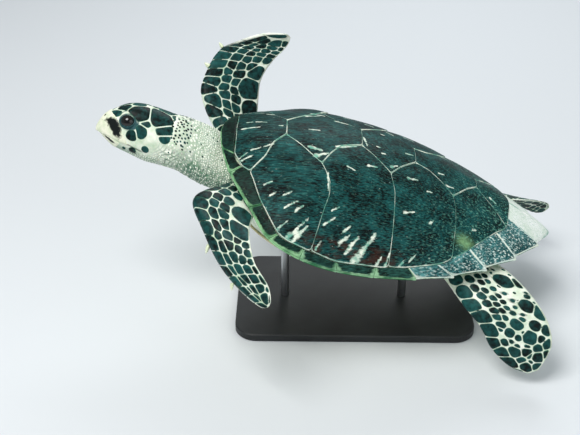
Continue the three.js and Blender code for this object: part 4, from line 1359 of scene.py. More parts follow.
@dataclass
class FlipperForm:
    """The surface of one flipper between its leading and its trailing edge."""

    stations: list[tuple[tuple[float, float, float], tuple[float, float, float], float]]
    upper_sign: int  # which way the section's normal points to the upper face
    rows: int = 70  # rings of its skin
    around: int = 32  # points of a ring on each face

    def __post_init__(self) -> None:
        """Sample the edges, the thickness and the section."""
        self.lead = catmull([s[0] for s in self.stations], FORM_SAMPLES, centripetal=True)
        self.trail = catmull([s[1] for s in self.stations], FORM_SAMPLES, centripetal=True)
        thick = catmull([(i, s[2]) for i, s in enumerate(self.stations)], FORM_SAMPLES)
        self.half = thick[:, 1] / 2
        self.t = np.linspace(0, 1, len(self.lead))
        root = np.sqrt([c[0] for c in CHORD])
        profile = catmull(np.column_stack([root, [c[1] for c in CHORD]]), 30, centripetal=True)
        self.profile_u, self.profile_h = profile[:, 0] ** 2, profile[:, 1]
        middle = (self.lead + self.trail) / 2
        span = np.gradient(middle, axis=0)
        normal = unit(np.cross(self.trail - self.lead, span)) * self.upper_sign
        for _ in range(12):
            normal[1:-1] = unit(normal[:-2] + 2 * normal[1:-1] + normal[2:])
        self.normal = normal
        lengths = np.linalg.norm(np.diff(middle, axis=0), axis=1)
        self.length = float(lengths.sum())
        self.chord = np.linalg.norm(self.trail - self.lead, axis=1)
        self.along = np.r_[0, np.cumsum(lengths)]
        u = np.linspace(0, 1, 200)
        mid = len(self.t) // 2
        flat = u * self.chord[mid]
        rise = np.interp(u, self.profile_u, self.profile_h) * self.half[mid]
        arc = np.r_[0, np.cumsum(np.hypot(np.diff(flat), np.diff(rise)))]
        self.arc_share, self.arc_u = arc / arc[-1], u

    def pick(self, table: Array, t: Array) -> Array:
        """Interpolate a row of samples at t.

        Args:
            table: one value or one point for each sample.
            t: shares of the length, root to tip.

        Returns:
            The values or points at t.
        """
        if table.ndim == 1:
            return np.interp(t, self.t, table)
        return np.stack([np.interp(t, self.t, table[:, k]) for k in range(3)], -1)

    def point(self, t: Array, v: Array, grow: Array | float = 0.0) -> Array:
        """Points of the surface.

        Args:
            t: share of the length, root to tip.
            v: share of the way round from the leading edge, positive on the upper face.
            grow: added half thickness.

        Returns:
            n x 3 body-frame points.
        """
        u = np.interp(np.abs(v), self.arc_share, self.arc_u)
        lead, trail = self.pick(self.lead, t), self.pick(self.trail, t)
        normal = unit(self.pick(self.normal, t))
        height = np.interp(u, self.profile_u, self.profile_h) * self.pick(self.half, t)
        chord = trail - lead
        inward = np.exp(-u / EDGE_REACH) * grow
        shift = unit(chord) * -inward[..., None] if isinstance(inward, np.ndarray) else 0
        rise = np.sign(v) * (height + grow * (1 - np.exp(-u / EDGE_REACH)))
        return lead + chord * u[..., None] + normal * rise[..., None] + shift

    def outward(self, t: Array, v: Array) -> Array:
        """Outward normals of the surface.

        Args:
            t: shares of the length, root to tip.
            v: shares of the way round from the leading edge.

        Returns:
            n x 3 directions.
        """
        t = np.clip(t, NEAR_END, 1 - NEAR_END)
        v = np.sign(v) * np.clip(np.abs(v), NEAR_END, 1 - NEAR_END)
        along = self.point(t + NEAR_END, v) - self.point(t - NEAR_END, v)
        around = self.point(t, v + NEAR_END) - self.point(t, v - NEAR_END)
        normal = unit(np.cross(along, around))
        rough = unit(self.pick(self.normal, t)) * np.sign(v)[..., None]
        edge = unit(self.pick(self.lead, t) - self.pick(self.trail, t))
        away = rough + edge * (np.abs(v) < 0.05)[..., None]
        flip = np.sign((normal * away).sum(-1, keepdims=True))
        return normal * np.where(flip == 0, 1, flip)

    def skin(self) -> tuple[Array, Faces]:
        """A closed mesh of the flipper, inside the scales by the coat's depth.

        Returns:
            Points and faces.
        """
        t = np.linspace(0, 1, self.rows)
        v = np.r_[np.linspace(0, 1, self.around) ** 1.5, -(np.linspace(1, 0, self.around) ** 1.5)[:-1]]
        tt, vv = (a.ravel() for a in np.meshgrid(t, v, indexing="ij"))
        rings = self.point(tt, vv, -COAT_DEPTH * smoothstep(0.0, 0.1, tt)).reshape(self.rows, len(v), 3)
        points, faces = closed_loft(rings)
        points[-1] += unit(points[-1] - rings[-2].mean(0))
        return points, faces


FRONT_LEFT = FlipperForm([((66, -72, 16), (150, -95, 12), 46), ((38, -128, 36), (118, -146, 24), 42),
                          ((1, -190, 43), (105, -214, 34), 28), ((30, -231, 12), (107, -262, 34), 21),
                          ((72, -269, -23), (120, -300, 21), 15), ((117, -308, -39), (150, -326, -1), 10),
                          ((148, -332, -40), (159, -337, -20), 6), ((155, -336, -36), (159, -338, -29), 4)],
                         -1)
FRONT_RIGHT = FlipperForm([((66, 72, 16), (150, 95, 12), 46), ((20, 112, 32), (106, 150, 26), 42),
                           ((-22, 151, 77), (93, 196, 66), 29), ((-21, 188, 108), (89, 223, 102), 20),
                           ((-5, 226, 141), (105, 262, 131), 14), ((25, 256, 155), (121, 291, 144), 10),
                           ((73, 286, 173), (130, 313, 155), 8), ((120, 310, 175), (131, 318, 166), 4)], 1)
HIND_LEFT = FlipperForm([((448, -92, -12), (556, -76, 0), 44), ((480, -146, -22), (588, -138, 18), 38),
                         ((518, -190, -42), (625, -190, 14), 26), ((550, -218, -57), (659, -222, -9), 18),
                         ((582, -236, -87), (675, -246, -38), 13), ((621, -248, -106), (675, -253, -67), 9),
                         ((654, -255, -108), (670, -256, -94), 5)], -1)
HIND_RIGHT = FlipperForm([((448, 98, -14), (556, 66, 0), 44), ((500, 152, -16), (585, 106, 14), 37),
                          ((590, 204, -20), (637, 129, 24), 22), ((648, 214, -24), (674, 139, 28), 15),
                          ((695, 208, -28), (707, 149, 27), 10), ((717, 198, -27), (723, 159, 20), 8),
                          ((731, 186, -16), (733, 169, 7), 5)], 1)
FLIPPERS = {"front_flipper_left": FRONT_LEFT, "front_flipper_right": FRONT_RIGHT,
            "hind_flipper_left": HIND_LEFT, "hind_flipper_right": HIND_RIGHT}


# ------------------------------------------------------------------ skin

# Sections of the tail: x, centre z, half height, half width.
TAIL_SECTIONS = [(545, 0, 20, 32), (585, -1, 18, 25), (615, 0, 14, 17), (642, 2, 9, 9.5),
                 (657, 4.5, 4.6, 4.8), (660, 5, 2.0, 2.0)]


@dataclass
class Skin:
    """The one skin over head, neck, trunk, tail and flippers."""

    head_rows: int = 175
    neck_rows: int = 100
    around: int = 220
    trunk_turns: int = 150
    under_shell: float = 8.5  # depth of the trunk's back under the dome
    blend_reach: float = 14.0  # millimetres from a junction that are smoothed
    lid_opening: tuple[float, float] = (14.3, 11.0)  # half length and half height of the eye's opening

    def head_and_neck(self) -> tuple[Array, Faces]:
        """The head and neck as one tube.

        Returns:
            Points and faces.
        """
        head = HEAD.start + 0.6 + (np.linspace(0, 1, self.head_rows) ** 1.25) * (-58 - HEAD.start)
        x = np.r_[head, np.linspace(-57, HEAD.end - 2, self.neck_rows)]
        side = np.arange(self.around) / self.around * 2 * math.pi
        xx, ss = (a.ravel() for a in np.meshgrid(x, side, indexing="ij"))
        inset = -COAT_DEPTH - 0.5 * (1 - smoothstep(-186, -176, xx))
        points = HEAD.surface(xx, ss, inset)
        for eye_side in (-1, 1):
            points = self.lids(points, eye_side)
        return closed_loft(list(points.reshape(len(x), self.around, 3)))

    def lids(self, points: Array, side: int) -> Array:
        """Wrap the skin round one eyeball and open the lids.

        Args:
            points: the head's points.
            side: -1 for the left eye, 1 for the right one.

        Returns:
            The points with the lids shaped.
        """
        centre, gaze, back, up = eye_frame(side)
        away = points - centre
        distance = np.linalg.norm(away, axis=1)
        ahead = away @ gaze
        east, north = away @ back, away @ up
        lateral = np.hypot(east, north)
        near = (ahead > 0) & (lateral < 24)
        half_long, half_high = self.lid_opening
        north = north + 0.12 * east
        shape = np.hypot(east / half_long, north / np.where(north > 0, half_high, half_high * 0.85))
        gap = (shape - 1) * half_high
        wrap = 1 - smoothstep(15.6, 22.0, lateral)
        fold = 0.35 * np.cos(2 * math.pi * (gap - 1.6) / 3.1) * smoothstep(0.8, 2.4, gap) * wrap
        rim = 0.7 * np.exp(-((gap - 0.9) / 0.9) ** 2)
        target = np.where(gap > 0, EYE_RADIUS + 0.7 + rim + fold, EYE_RADIUS - 2.5)
        reach = distance + (target - distance) * wrap
        return np.where(near[:, None], centre + away / distance[:, None] * reach[:, None], points)

    def trunk(self) -> tuple[Array, Faces]:
        """The trunk between the shell and the plastron.

        Returns:
            Points and faces.
        """
        angle = np.arange(self.trunk_turns) / self.trunk_turns * 2 * math.pi
        _, front, rear = sector(angle)
        seam = (SEAM.radius(angle) - 1.5) / RIM.radius(angle)
        rings = [dome_at(angle, seam * f) - dome_normal(angle, seam * f) * self.under_shell
                 for f in (0.05, 0.3, 0.55, 0.75, 0.9, 1.0)]
        rim_scute = Marginal("", (0, 0), (0, 0), 1)
        lip = np.array([rim_scute.lip_at(float(a)) for a in angle])
        lip[:, 2] -= 2.1 + 4 * rear
        foot_r = PLASTRON_EDGE.radius(angle)
        shield = PlastronShield()
        foot = np.stack([SHELL_CENTRE_X + foot_r * np.cos(angle), foot_r * np.sin(angle),
                         shield.height(angle, np.ones_like(angle)) + shield.thickness], -1)
        out = np.stack([np.cos(angle), np.sin(angle), np.zeros_like(angle)], -1)
        for t in np.linspace(0, 0.96, 10):
            bulge = 8 * math.sin(math.pi * t) * front - 2.5 + 1.5 * np.sin(9 * angle) * math.sin(math.pi * t)
            rings.append(lip + (foot - lip) * t + out * bulge[:, None])
        for f in (0.98, 0.7, 0.35, 0.05):
            r = foot_r * f
            z = shield.height(angle, np.full_like(angle, f)) + shield.thickness + 0.5
            rings.append(np.stack([SHELL_CENTRE_X + r * np.cos(angle), r * np.sin(angle), z], -1))
        return closed_loft(rings)

    def tail(self) -> tuple[Array, Faces]:
        """The short tail.

        Returns:
            Points and faces.
        """
        rows = catmull(np.array(TAIL_SECTIONS, float), 10, centripetal=True)
        a = np.arange(48) / 48 * 2 * math.pi
        rings = [np.stack([np.full_like(a, x), w * np.cos(a), z + h * np.sin(a)], -1) for x, z, h, w in rows]
        return closed_loft(rings)

    def build(self) -> Object:
        """Join the parts into one skin and soften where they meet.

        Returns:
            The skin, not yet dressed.
        """
        parts = [("skin", *self.head_and_neck()), ("trunk_part", *self.trunk()), ("tail_part", *self.tail())]
        parts += [(f"{name}_part", *form.skin()) for name, form in FLIPPERS.items()]
        objects = []
        clouds = []
        for name, points, faces in parts:
            obj = recalculate(mesh_object(name, points, faces))
            objects.append(obj)
            clouds.append(to_world(points))
        skin = objects[0]
        for other in objects[1:]:
            union = skin.modifiers.new("join", "BOOLEAN")
            union.operation, union.object, union.solver = "UNION", other, "MANIFOLD"
            apply_modifiers(skin)
        for other in objects[1:]:
            bpy.data.objects.remove(other)
        self.soften(skin, clouds)
        return skin

    def mark(self, skin: Object, coats: Sequence[Object]) -> None:
        """Give the skin the markings of its coat and the lids' folds, and painted shade in the neck's
        wrinkles, between its granules, on its underside and throat and along the mouth's line.

        Args:
            skin: the joined skin.
            coats: the coat pieces over it.
        """
        places = vertex_places(skin.data)
        dark = np.zeros(len(places))
        tree = KDTree(sum(len(coat.data.vertices) for coat in coats))
        for coat in coats:
            values = {key: np.zeros(len(coat.data.vertices), np.float32) for key in ("dark", "edge_mm")}
            for key, store in values.items():
                coat.data.attributes[key].data.foreach_get("value", store)
            # dark under dark scales, which on the right hind flipper's lower face are painted shade
            inside = (values["dark"] > 0.5) & (values["edge_mm"] > 2.2)
            for i in np.nonzero(inside)[0]:
                tree.insert(coat.data.vertices[i].co, int(i))
        tree.balance()
        for i, point in enumerate(places):
            dark[i] = tree.find(point)[2] < 2.0 * MM
        body = from_world(places)
        cy, cz = HEAD.values(body[:, 0])[:2]
        side = np.arctan2(body[:, 1] - cy, body[:, 2] - cz)
        neck = (body[:, 0] < 70) & (np.abs(body[:, 1]) < 75)
        # Painted shade in dark green: in the neck's wrinkles, between its granules (more so towards its
        # underside) and on the throat below the mouth.
        crease_shade = np.where(neck, HEAD.crease_shade(body[:, 0], side), 0)
        under = 0.45 + 0.5 * smoothstep(1.0, 1.9, np.abs(side))
        pebble_shade = np.where(neck, smoothstep(-66, -10, body[:, 0]) * under, 0)
        lid = np.zeros(len(places))
        for eye_side in (-1, 1):
            centre, gaze, back, up = eye_frame(eye_side)
            away = body - centre
            east, north = away @ back, away @ up
            beyond = np.hypot((east + 2.6) / 19, (north + 1.2) / 14.5)
            fold = np.exp(-((np.hypot(east, north) - 18.8) / 0.8) ** 2) * smoothstep(2, 7, north)
            arc = 0.6 * np.exp(-((beyond - 0.86) / 0.06) ** 2) * smoothstep(0, 5, north)
            zone = np.maximum((1 - arc) * (1 - smoothstep(0.96, 1.06, beyond)), 0.9 * fold)
            lid = np.maximum(lid, zone * (away @ gaze > 0))
        # Painted shade: dark along the groove of the mouth's line, and dark green on the throat below it.
        jaw, below = HEAD.jaw(body)
        throat = np.where(neck, 0.62 * smoothstep(0, 13, below) * (1 - smoothstep(-80, -35, body[:, 0])), 0)
        dark = np.maximum(dark, 0.9 * jaw * neck)
        shade_share = np.maximum(crease_shade, np.maximum(pebble_shade, throat))
        for key, value in (("dark", dark), ("lid", lid), ("crease_shade", shade_share)):
            layer = skin.data.attributes.new(key, "FLOAT", "POINT")
            layer.data.foreach_set("value", value.astype(np.float32))

    def soften(self, skin: Object, clouds: list[Array]) -> None:
        """Smooth the skin near the junctions of its parts.

        Args:
            skin: the joined skin.
            clouds: points of each part before the join, in metres.
        """
        places = vertex_places(skin.data)
        gaps = []
        for cloud in clouds:
            low, high = cloud.min(0) - 0.02, cloud.max(0) + 0.02
            inside = np.all((places > low) & (places < high), axis=1)
            gap = np.full(len(places), 1.0)
            tree = KDTree(len(cloud))
            for i, point in enumerate(cloud):
                tree.insert(point, i)
            tree.balance()
            for i in np.nonzero(inside)[0]:
                gap[i] = tree.find(places[i])[2]
            gaps.append(gap)
        second = np.sort(np.array(gaps), axis=0)[1]
        weight = 1 - smoothstep(0.3, 1.0, second / (self.blend_reach * MM))
        group = skin.vertex_groups.new(name="junction")
        for level in np.linspace(0.1, 1, 10):
            chosen = np.nonzero((weight > level - 0.1) & (weight <= level))[0]
            if len(chosen):
                group.add(chosen.tolist(), float(level), "REPLACE")
        smooth = skin.modifiers.new("soften", "SMOOTH")
        smooth.factor, smooth.iterations, smooth.vertex_group = 0.5, 14, "junction"
        apply_modifiers(skin)
        skin.vertex_groups.clear()


# ------------------------------------------------------------------ scales

PATCH_REACH = 0.0015  # reach of one scale's patch about its root on the shared unwrap


@dataclass(frozen=True)
class Root:
    """Where one scale grows and how large it may be."""

    a: float  # chart position along, millimetres
    b: float  # chart position around, millimetres
    radius: float  # largest reach from the root, millimetres
    dark: float = 1.0  # 0 for a pale scale, 1 for a dark one


def clip_cell(cell: Corners, nx: float, ny: float, limit: float) -> Corners:
    """Cut a convex polygon with a line.

    Args:
        cell: the polygon.
        nx: the line's normal in x.
        ny: the line's normal in y.
        limit: points with nx * x + ny * y above this are cut away.

    Returns:
        The part that is left.
    """
    kept = []
    for i, (x1, y1) in enumerate(cell):
        x0, y0 = cell[i - 1]
        d0, d1 = nx * x0 + ny * y0 - limit, nx * x1 + ny * y1 - limit
        if d0 * d1 < 0:
            share = d0 / (d0 - d1)
            kept.append((x0 + (x1 - x0) * share, y0 + (y1 - y0) * share))
        if d1 <= 0:
            kept.append((x1, y1))
    return kept


@dataclass
class ScaleBed:
    """A field of scales over a charted surface, packed as a power diagram and joined into one mesh."""

    surface: Callable[[Array, Array, Array], Array]  # chart a, chart b, height to body-frame points
    limits: tuple[float, float, float, float]  # chart a and b, lowest and highest
    bake_corner: tuple[float, float]  # corner of this chart on the shared unwrap
    seam: float = 2.2  # gap between scales, millimetres
    height: float = 0.8  # rise of a scale over the skin
    crown: float = 0.35  # extra rise at its middle
    bevel: float = 0.9
    point_gap: float = 2.2
    ring_gap: float = 4.0
    rounding: int = 2

    def cells(self, roots: Sequence[Root]) -> list[Array]:
        """The cell of each root, in the chart.

        Args:
            roots: the scales' roots.

        Returns:
            One polygon for each root.
        """
        a = np.array([r.a for r in roots])
        b = np.array([r.b for r in roots])
        weight = np.array([r.radius for r in roots]) ** 2 * 0.8
        low_a, high_a, low_b, high_b = self.limits
        cells = []
        for i, root in enumerate(roots):
            reach = 2.6 * root.radius + 4
            cell = [(root.a - reach, root.b - reach), (root.a + reach, root.b - reach),
                    (root.a + reach, root.b + reach), (root.a - reach, root.b + reach)]
            for nx, ny, limit in ((-1, 0, -low_a), (1, 0, high_a), (0, -1, -low_b), (0, 1, high_b)):
                cell = clip_cell(cell, nx, ny, limit)
            gap = np.hypot(a - root.a, b - root.b)
            for j in np.argsort(gap)[1:40]:
                if gap[j] > 3 * reach:
                    break
                nx, ny = 2 * (a[j] - root.a), 2 * (b[j] - root.b)
                limit = (a[j] ** 2 + b[j] ** 2 - weight[j]) - (root.a ** 2 + root.b ** 2 - weight[i])
                cell = clip_cell(cell, nx, ny, limit)
            cells.append(np.array(cell))
        return cells

    def metric(self, root: Root) -> tuple[float, float]:
        """Real millimetres for one chart millimetre, along and around, at a root.

        Args:
            root: where to measure.

        Returns:
            The two scales.
        """
        a = np.array([root.a - 1, root.a + 1, root.a, root.a])
        b = np.array([root.b, root.b, root.b - 1, root.b + 1])
        p = self.surface(a, b, np.zeros(4))
        return float(np.linalg.norm(p[1] - p[0])) / 2, float(np.linalg.norm(p[3] - p[2])) / 2

    def outline(self, cell: Array, root: Root) -> Array | None:
        """Inset and round one cell.

        Args:
            cell: the cell in the chart.
            root: its root.

        Returns:
            The scale's outline about its root in real millimetres, or None where nothing is left.
        """
        if len(cell) < 3:
            return None
        local = (cell - [root.a, root.b]) * self.metric(root)
        shape = [tuple(c) for c in local]
        for k in range(len(local)):
            edge = local[k] - local[k - 1]
            length = np.hypot(*edge)
            if length < 1e-6:
                continue
            nx, ny = edge[1] / length, -edge[0] / length
            limit = nx * local[k][0] + ny * local[k][1] - self.seam / 2
            shape = clip_cell(shape, nx, ny, limit)
            if len(shape) < 3:
                return None
        for angle in np.arange(16) / 16 * 2 * math.pi:
            shape = clip_cell(shape, math.cos(angle), math.sin(angle), root.radius)
            if len(shape) < 3:
                return None
        loop = np.array(shape)
        size = np.ptp(loop, axis=0)
        if size.min() < 1.6:
            return None
        around = np.linalg.norm(loop - np.roll(loop, 1, 0), axis=1).sum()
        count = int(np.clip(around / self.point_gap, 12, 40))
        closed = np.vstack([loop, loop[:1]])
        lengths = np.r_[0, np.cumsum(np.linalg.norm(np.diff(closed, axis=0), axis=1))]
        at = np.arange(count) / count * lengths[-1]
        even = np.stack([np.interp(at, lengths, closed[:, k]) for k in (0, 1)], -1)
        for _ in range(self.rounding):
            even = 0.5 * even + 0.25 * (np.roll(even, 1, 0) + np.roll(even, -1, 0))
        return even

    def profile(self, mean: float) -> Corners:
        """Inset and height of each ring of a scale, from its buried edge to its crown.

        Args:
            mean: the scale's mean radius.

        Returns:
            Inset and height in millimetres, ring by ring.
        """
        bevel = min(self.bevel, 0.3 * mean)
        rings = [(0.0, -0.6), (0.0, 0.35 * self.height), (0.4 * bevel, 0.8 * self.height),
                 (bevel, self.height)]
        inner = max(1, int(round((mean - bevel) / self.ring_gap)))
        for k in range(1, inner + 1):
            share = k / (inner + 1)
            rise = self.crown * (1 - (1 - share) ** 2)
            rings.append((bevel + (mean - bevel) * share, self.height + rise))
        return rings

    def build(self, name: str, roots: Sequence[Root],
              pale_edge: Callable[[Array, Array], Array] | None = None,
              blocked: Sequence[Root] = ()) -> Object:
        """Make every scale of the bed.

        Args:
            name: the piece's name.
            roots: the scales' roots.
            pale_edge: how far the colour has faded at chart places, or None.
            blocked: roots that keep their cell but grow nothing.

        Returns:
            The joined piece with attributes dark, edge_mm, fade and tone, and UV map OFBake.
        """
        chart, heights, faces, dark, edge_mm, tones, bake = [], [], [], [], [], [], []
        total = 0
        tone_rng = np.random.default_rng(len(roots))
        for root, cell in zip(roots, self.cells([*roots, *blocked])):
            tone = tone_rng.random()
            outline = self.outline(cell, root)
            if outline is None:
                continue
            metric = np.array(self.metric(root))
            count = len(outline)
            centre = outline.mean(0)
            arms = outline - centre
            reach = np.linalg.norm(arms, axis=1)
            mean = reach.mean()
            profile = self.profile(mean)
            for inset, height in profile:
                ring = centre + arms * (1 - inset / mean)
                chart.append(ring / metric + [root.a, root.b])
                heights.append(np.full(count, height))
                edge_mm.append(np.full(count, inset * reach.min() / mean))
                patch = ring * PATCH_REACH / max(reach.max(), 0.1)
                bake.append(np.full((count, 2), [root.a, root.b]) * MM + patch)
            chart.append(centre[None] / metric + [root.a, root.b])
            heights.append(np.array([self.height + self.crown]))
            edge_mm.append(np.array([reach.min()]))
            bake.append(np.array([[root.a, root.b]]) * MM)
            rows = len(profile)
            faces += ring_faces(rows, count, total)
            last, pole = total + (rows - 1) * count, total + rows * count
            faces += [(last + i, last + (i + 1) % count, pole) for i in range(count)]
            faces.append(tuple(range(total + count - 1, total - 1, -1)))
            size = rows * count + 1
            dark.append(np.full(size, root.dark))
            tones.append(np.full(size, tone))
            total += size
        chart, heights = np.vstack(chart), np.concatenate(heights)
        points = self.surface(chart[:, 0], chart[:, 1], heights - COAT_DEPTH)
        fade = pale_edge(chart[:, 0], chart[:, 1]) if pale_edge else np.zeros(len(chart))
        uv = np.vstack(bake)[np.array([i for face in faces for i in face])] + self.bake_corner
        values = {"dark": np.concatenate(dark), "edge_mm": np.concatenate(edge_mm), "fade": fade,
                  "tone": np.concatenate(tones)}
        return recalculate(mesh_object(name, points, faces, values, {"OFBake": uv}))


@dataclass(frozen=True)
class FlipperScale:
    """Keratin of a flipper scale, wet-look satin: dark teal, paler to its rim and at the leading edge."""

    name: str = "flipper_scale_satin_keratin"
    dark: str = "#051312"
    mid: str = "#1d5350"
    pale: str = "#f2f7e8"
    rim: str = "#4f8a72"

    def build(self) -> Material:
        """Make the material.

        Returns:
            The material.
        """
        s = Shading(self.name)
        tone, edge, fade, dark = s.marks("tone", "edge_mm", "fade", "dark")
        mottle = s.total((s.noise(9, 4), 0.8), (tone, 0.25))
        base = s.node("ValToRGB", {0: mottle}, stops=((0.38, self.dark), (0.75, self.mid)))
        rim = s.total((edge, 1), (s.noise(3, 2), 1.2), offset=-0.6)
        rim = s.node("MapRange", {"Value": rim, "From Min": 1.0, "From Max": 0.2, "To Max": 0.45})
        faded = s.total((fade, 1), (s.noise(6, 3), 0.3), offset=-0.15)
        faded = s.node("MapRange", {"Value": faded, "From Min": 0.35, "From Max": 0.8})
        light = s.total((dark, -1), offset=1.0)
        colour = s.paint(base, (rim, self.rim), (faded, self.pale), (light, self.pale))
        return s.finish(colour, 0.46, specular=0.14, bump=s.noise(2.2, 3), bump_mm=0.25)


@dataclass(frozen=True)
class ScaleRow:
    """A row of scales along a flipper."""

    share: float  # place across the flipper: 0 the leading edge, 1 the trailing edge
    start: float  # share of the length of the first scale
    end: float  # share of the length of the last scale
    count: int
    radius: float  # reach of a scale at the start
    tip_radius: float  # reach of a scale at the end


@dataclass
class FlipperCoat:
    """The scales of one flipper: rows of plates on both faces, and single larger ones."""

    name: str
    form: FlipperForm
    rows: list[ScaleRow]
    single: list[tuple[float, float, float]]  # share along, share across, radius
    bake_corner: tuple[float, float]
    seed: int
    seam: float = 1.7  # pale skin between two scales, millimetres
    edge_pale: float = 1.0  # how far the leading edge fades to pale
    lower_dark_and_shade: float = 0.15  # share of dark scales on the lower face, besides those near the tip; at 1 the whole face is painted dark as shade
    lower_rows: list[ScaleRow] = field(default_factory=lambda: [
        ScaleRow(0.14, 0.25, 0.88, 9, 14, 16), ScaleRow(0.45, 0.3, 0.85, 9, 9, 13),
        ScaleRow(0.75, 0.3, 0.8, 8, 9, 12)])

    def roots(self) -> list[Root]:
        """Places of every scale, with a seeded unevenness.

        Returns:
            The single scales, then those of the rows.
        """
        rng = np.random.default_rng(self.seed)
        girth = self.girth()
        length = self.form.length
        found = [Root(t * length, v * girth, r) for t, v, r in self.single]
        for face, rows in ((Face.UPPER, self.rows), (Face.LOWER, self.lower_rows)):
            for row in rows:
                for i in range(row.count):
                    share = i / max(row.count - 1, 1)
                    t = row.start + (row.end - row.start) * share ** 1.15
                    pitch = (row.end - row.start) / row.count
                    t += rng.uniform(-0.18, 0.18) * pitch
                    v = row.share + rng.uniform(-0.03, 0.03)
                    radius = row.radius + (row.tip_radius - row.radius) * share
                    place_ab = (t * length, face.value * v * girth)
                    taken = [r for r in found if math.hypot(r.a - place_ab[0], r.b - place_ab[1])
                             < 0.75 * r.radius + 0.35 * radius and r in found[:len(self.single)]]
                    if taken:
                        continue
                    chance = self.lower_dark_and_shade + 0.6 * max(0.0, t - 0.6)
                    dark = 1.0 if face is Face.UPPER else float(rng.random() < chance)
                    found.append(Root(*place_ab, radius, dark))
        return found

    def girth(self) -> float:
        """Mean width of one face round the section."""
        return float(np.mean(self.form.chord[: len(self.form.chord) * 3 // 4])) * 1.06

    def build(self, horn: Material) -> Object:
        """Make the coat of this flipper.

        Args:
            horn: the scales' finish.

        Returns:
            The finished piece.
        """
        girth, length, form = self.girth(), self.form.length, self.form

        def surface(a: Array, b: Array, height: Array) -> Array:
            """Chart to body frame."""
            return form.point(np.clip(a / length, 0, 1), np.clip(b / girth, -1, 1), height)

        def fade(a: Array, b: Array) -> Array:
            """Pale along the leading edge, more so towards the tip."""
            tipward = smoothstep(0.4, 1.0, a / length)
            edge = 1 - smoothstep(0.04 + 0.06 * tipward, 0.15 + 0.12 * tipward, np.abs(b) / girth)
            return self.edge_pale * edge * (0.12 + 0.95 * tipward)

        limits = (0.02 * length, 0.985 * length, -0.985 * girth, 0.985 * girth)
        bed = ScaleBed(surface, limits, self.bake_corner, seam=self.seam)
        obj = bed.build(self.name, self.roots(), fade)
        place(obj, horn, [])
        return obj


FRONT_ROWS = [ScaleRow(0.13, 0.08, 0.83, 15, 13, 30), ScaleRow(0.36, 0.08, 0.76, 15, 11, 18),
              ScaleRow(0.55, 0.06, 0.70, 14, 10, 17), ScaleRow(0.72, 0.40, 0.78, 8, 10, 20),
              ScaleRow(0.92, 0.46, 0.80, 7, 10, 14)]
FRONT_LEFT_SINGLE = [(0.14, 0.82, 20), (0.26, 0.86, 25), (0.37, 0.84, 23), (0.46, 0.80, 6), (0.51, 0.90, 12)]
FRONT_RIGHT_SINGLE = [(0.23, 0.85, 24), (0.35, 0.80, 28), (0.46, 0.86, 19), (0.13, 0.80, 10), (0.91, 0.2, 26)]
HIND_ROWS = [ScaleRow(0.34, 0.10, 0.50, 10, 9, 9), ScaleRow(0.45, 0.10, 0.50, 11, 8, 7),
             ScaleRow(0.57, 0.10, 0.48, 11, 6.5, 6), ScaleRow(0.68, 0.08, 0.45, 10, 5, 4.5),
             ScaleRow(0.80, 0.08, 0.36, 7, 4, 3), ScaleRow(0.96, 0.06, 0.38, 7, 4, 4)]
# Single scales of a hind flipper: the shields of the leading edge, the round ones, then those of the web.
HIND_SINGLE = [(0.12, 0.14, 11), (0.20, 0.13, 13), (0.27, 0.14, 15), (0.345, 0.12, 17), (0.43, 0.14, 18),
               (0.53, 0.13, 17), (0.62, 0.10, 15), (0.69, 0.15, 15), (0.79, 0.13, 19), (0.235, 0.79, 18),
               (0.255, 0.98, 14), (0.40, 0.84, 15), (0.45, 0.98, 17), (0.51, 0.55, 12), (0.53, 0.80, 11),
               (0.57, 0.95, 11), (0.61, 0.67, 15), (0.56, 0.40, 10), (0.70, 0.37, 14), (0.72, 0.56, 12),
               (0.68, 0.93, 14), (0.70, 0.78, 12), (0.80, 0.75, 19), (0.80, 0.40, 12), (0.88, 0.42, 22),
               (0.77, 0.95, 12), (0.62, 0.28, 8), (0.48, 0.66, 6), (0.60, 0.50, 7), (0.63, 0.84, 8),
               (0.53, 0.29, 6), (0.66, 0.44, 6), (0.67, 0.60, 6), (0.62, 0.38, 5), (0.77, 0.62, 9),
               (0.84, 0.60, 12), (0.90, 0.68, 14), (0.57, 0.60, 4), (0.44, 0.90, 4), (0.34, 0.93, 6)]


# ------------------------------------------------------------------ head shields and neck granules


CHART_RADIUS = 45.0  # millimetres of the head's chart for one radian round it


def head_chart(a: Array, b: Array, height: Array) -> Array:
    """Chart of the head and neck: along x, and round from the crown, to the body frame."""
    return HEAD.surface(a, b / CHART_RADIUS, height)


@dataclass
class HeadShields:
    """The horny shields of the head, the same on both sides, and the spots of the jaw."""

    # x, degrees from the crown, reach in millimetres.
    middle: tuple[tuple[float, float], ...] = ((-127, 13), (-76, 17))
    paired: tuple[tuple[float, float, float], ...] = (
        (-166, 37, 15), (-152, 17, 14), (-121, 36, 25), (-85, 33, 27), (-63, 15, 10), (-109, 59, 12.5),
        (-75, 57, 18), (-113, 80, 12.5), (-128, 93, 11), (-70, 75, 11.5), (-99, 110, 7.5), (-121, 127, 7.5),
        (-137, 133, 4.2))
    # Places kept free: the eyes and the beak.
    blocked: tuple[tuple[float, float, float], ...] = (
        (-141, 64, 18.5), (-182, 35, 9), (-174, 68, 13), (-158, 92, 13), (-147, 108, 9), (-96, 74, 5),
        (-66, 100, 8))
    bake_corner: tuple[float, float] = (0.3, 0.8)

    def build(self, horn: Material) -> Object:
        """Make the shields.

        Args:
            horn: their finish.

        Returns:
            The finished piece.
        """
        roots = [Root(x, 0.0, reach) for x, reach in self.middle]
        blocks = []
        for side in (-1, 1):
            arc = side * math.radians(1) * CHART_RADIUS
            roots += [Root(x, turn * arc, reach) for x, turn, reach in self.paired]
            blocks += [Root(x, turn * arc, reach) for x, turn, reach in self.blocked]
        limit = math.radians(170) * CHART_RADIUS
        bed = ScaleBed(head_chart, (-178, -57, -limit, limit), self.bake_corner, seam=2.1, crown=0.5)
        obj = bed.build("head_shields", roots, blocked=blocks)
        place(obj, horn, [])
        return obj


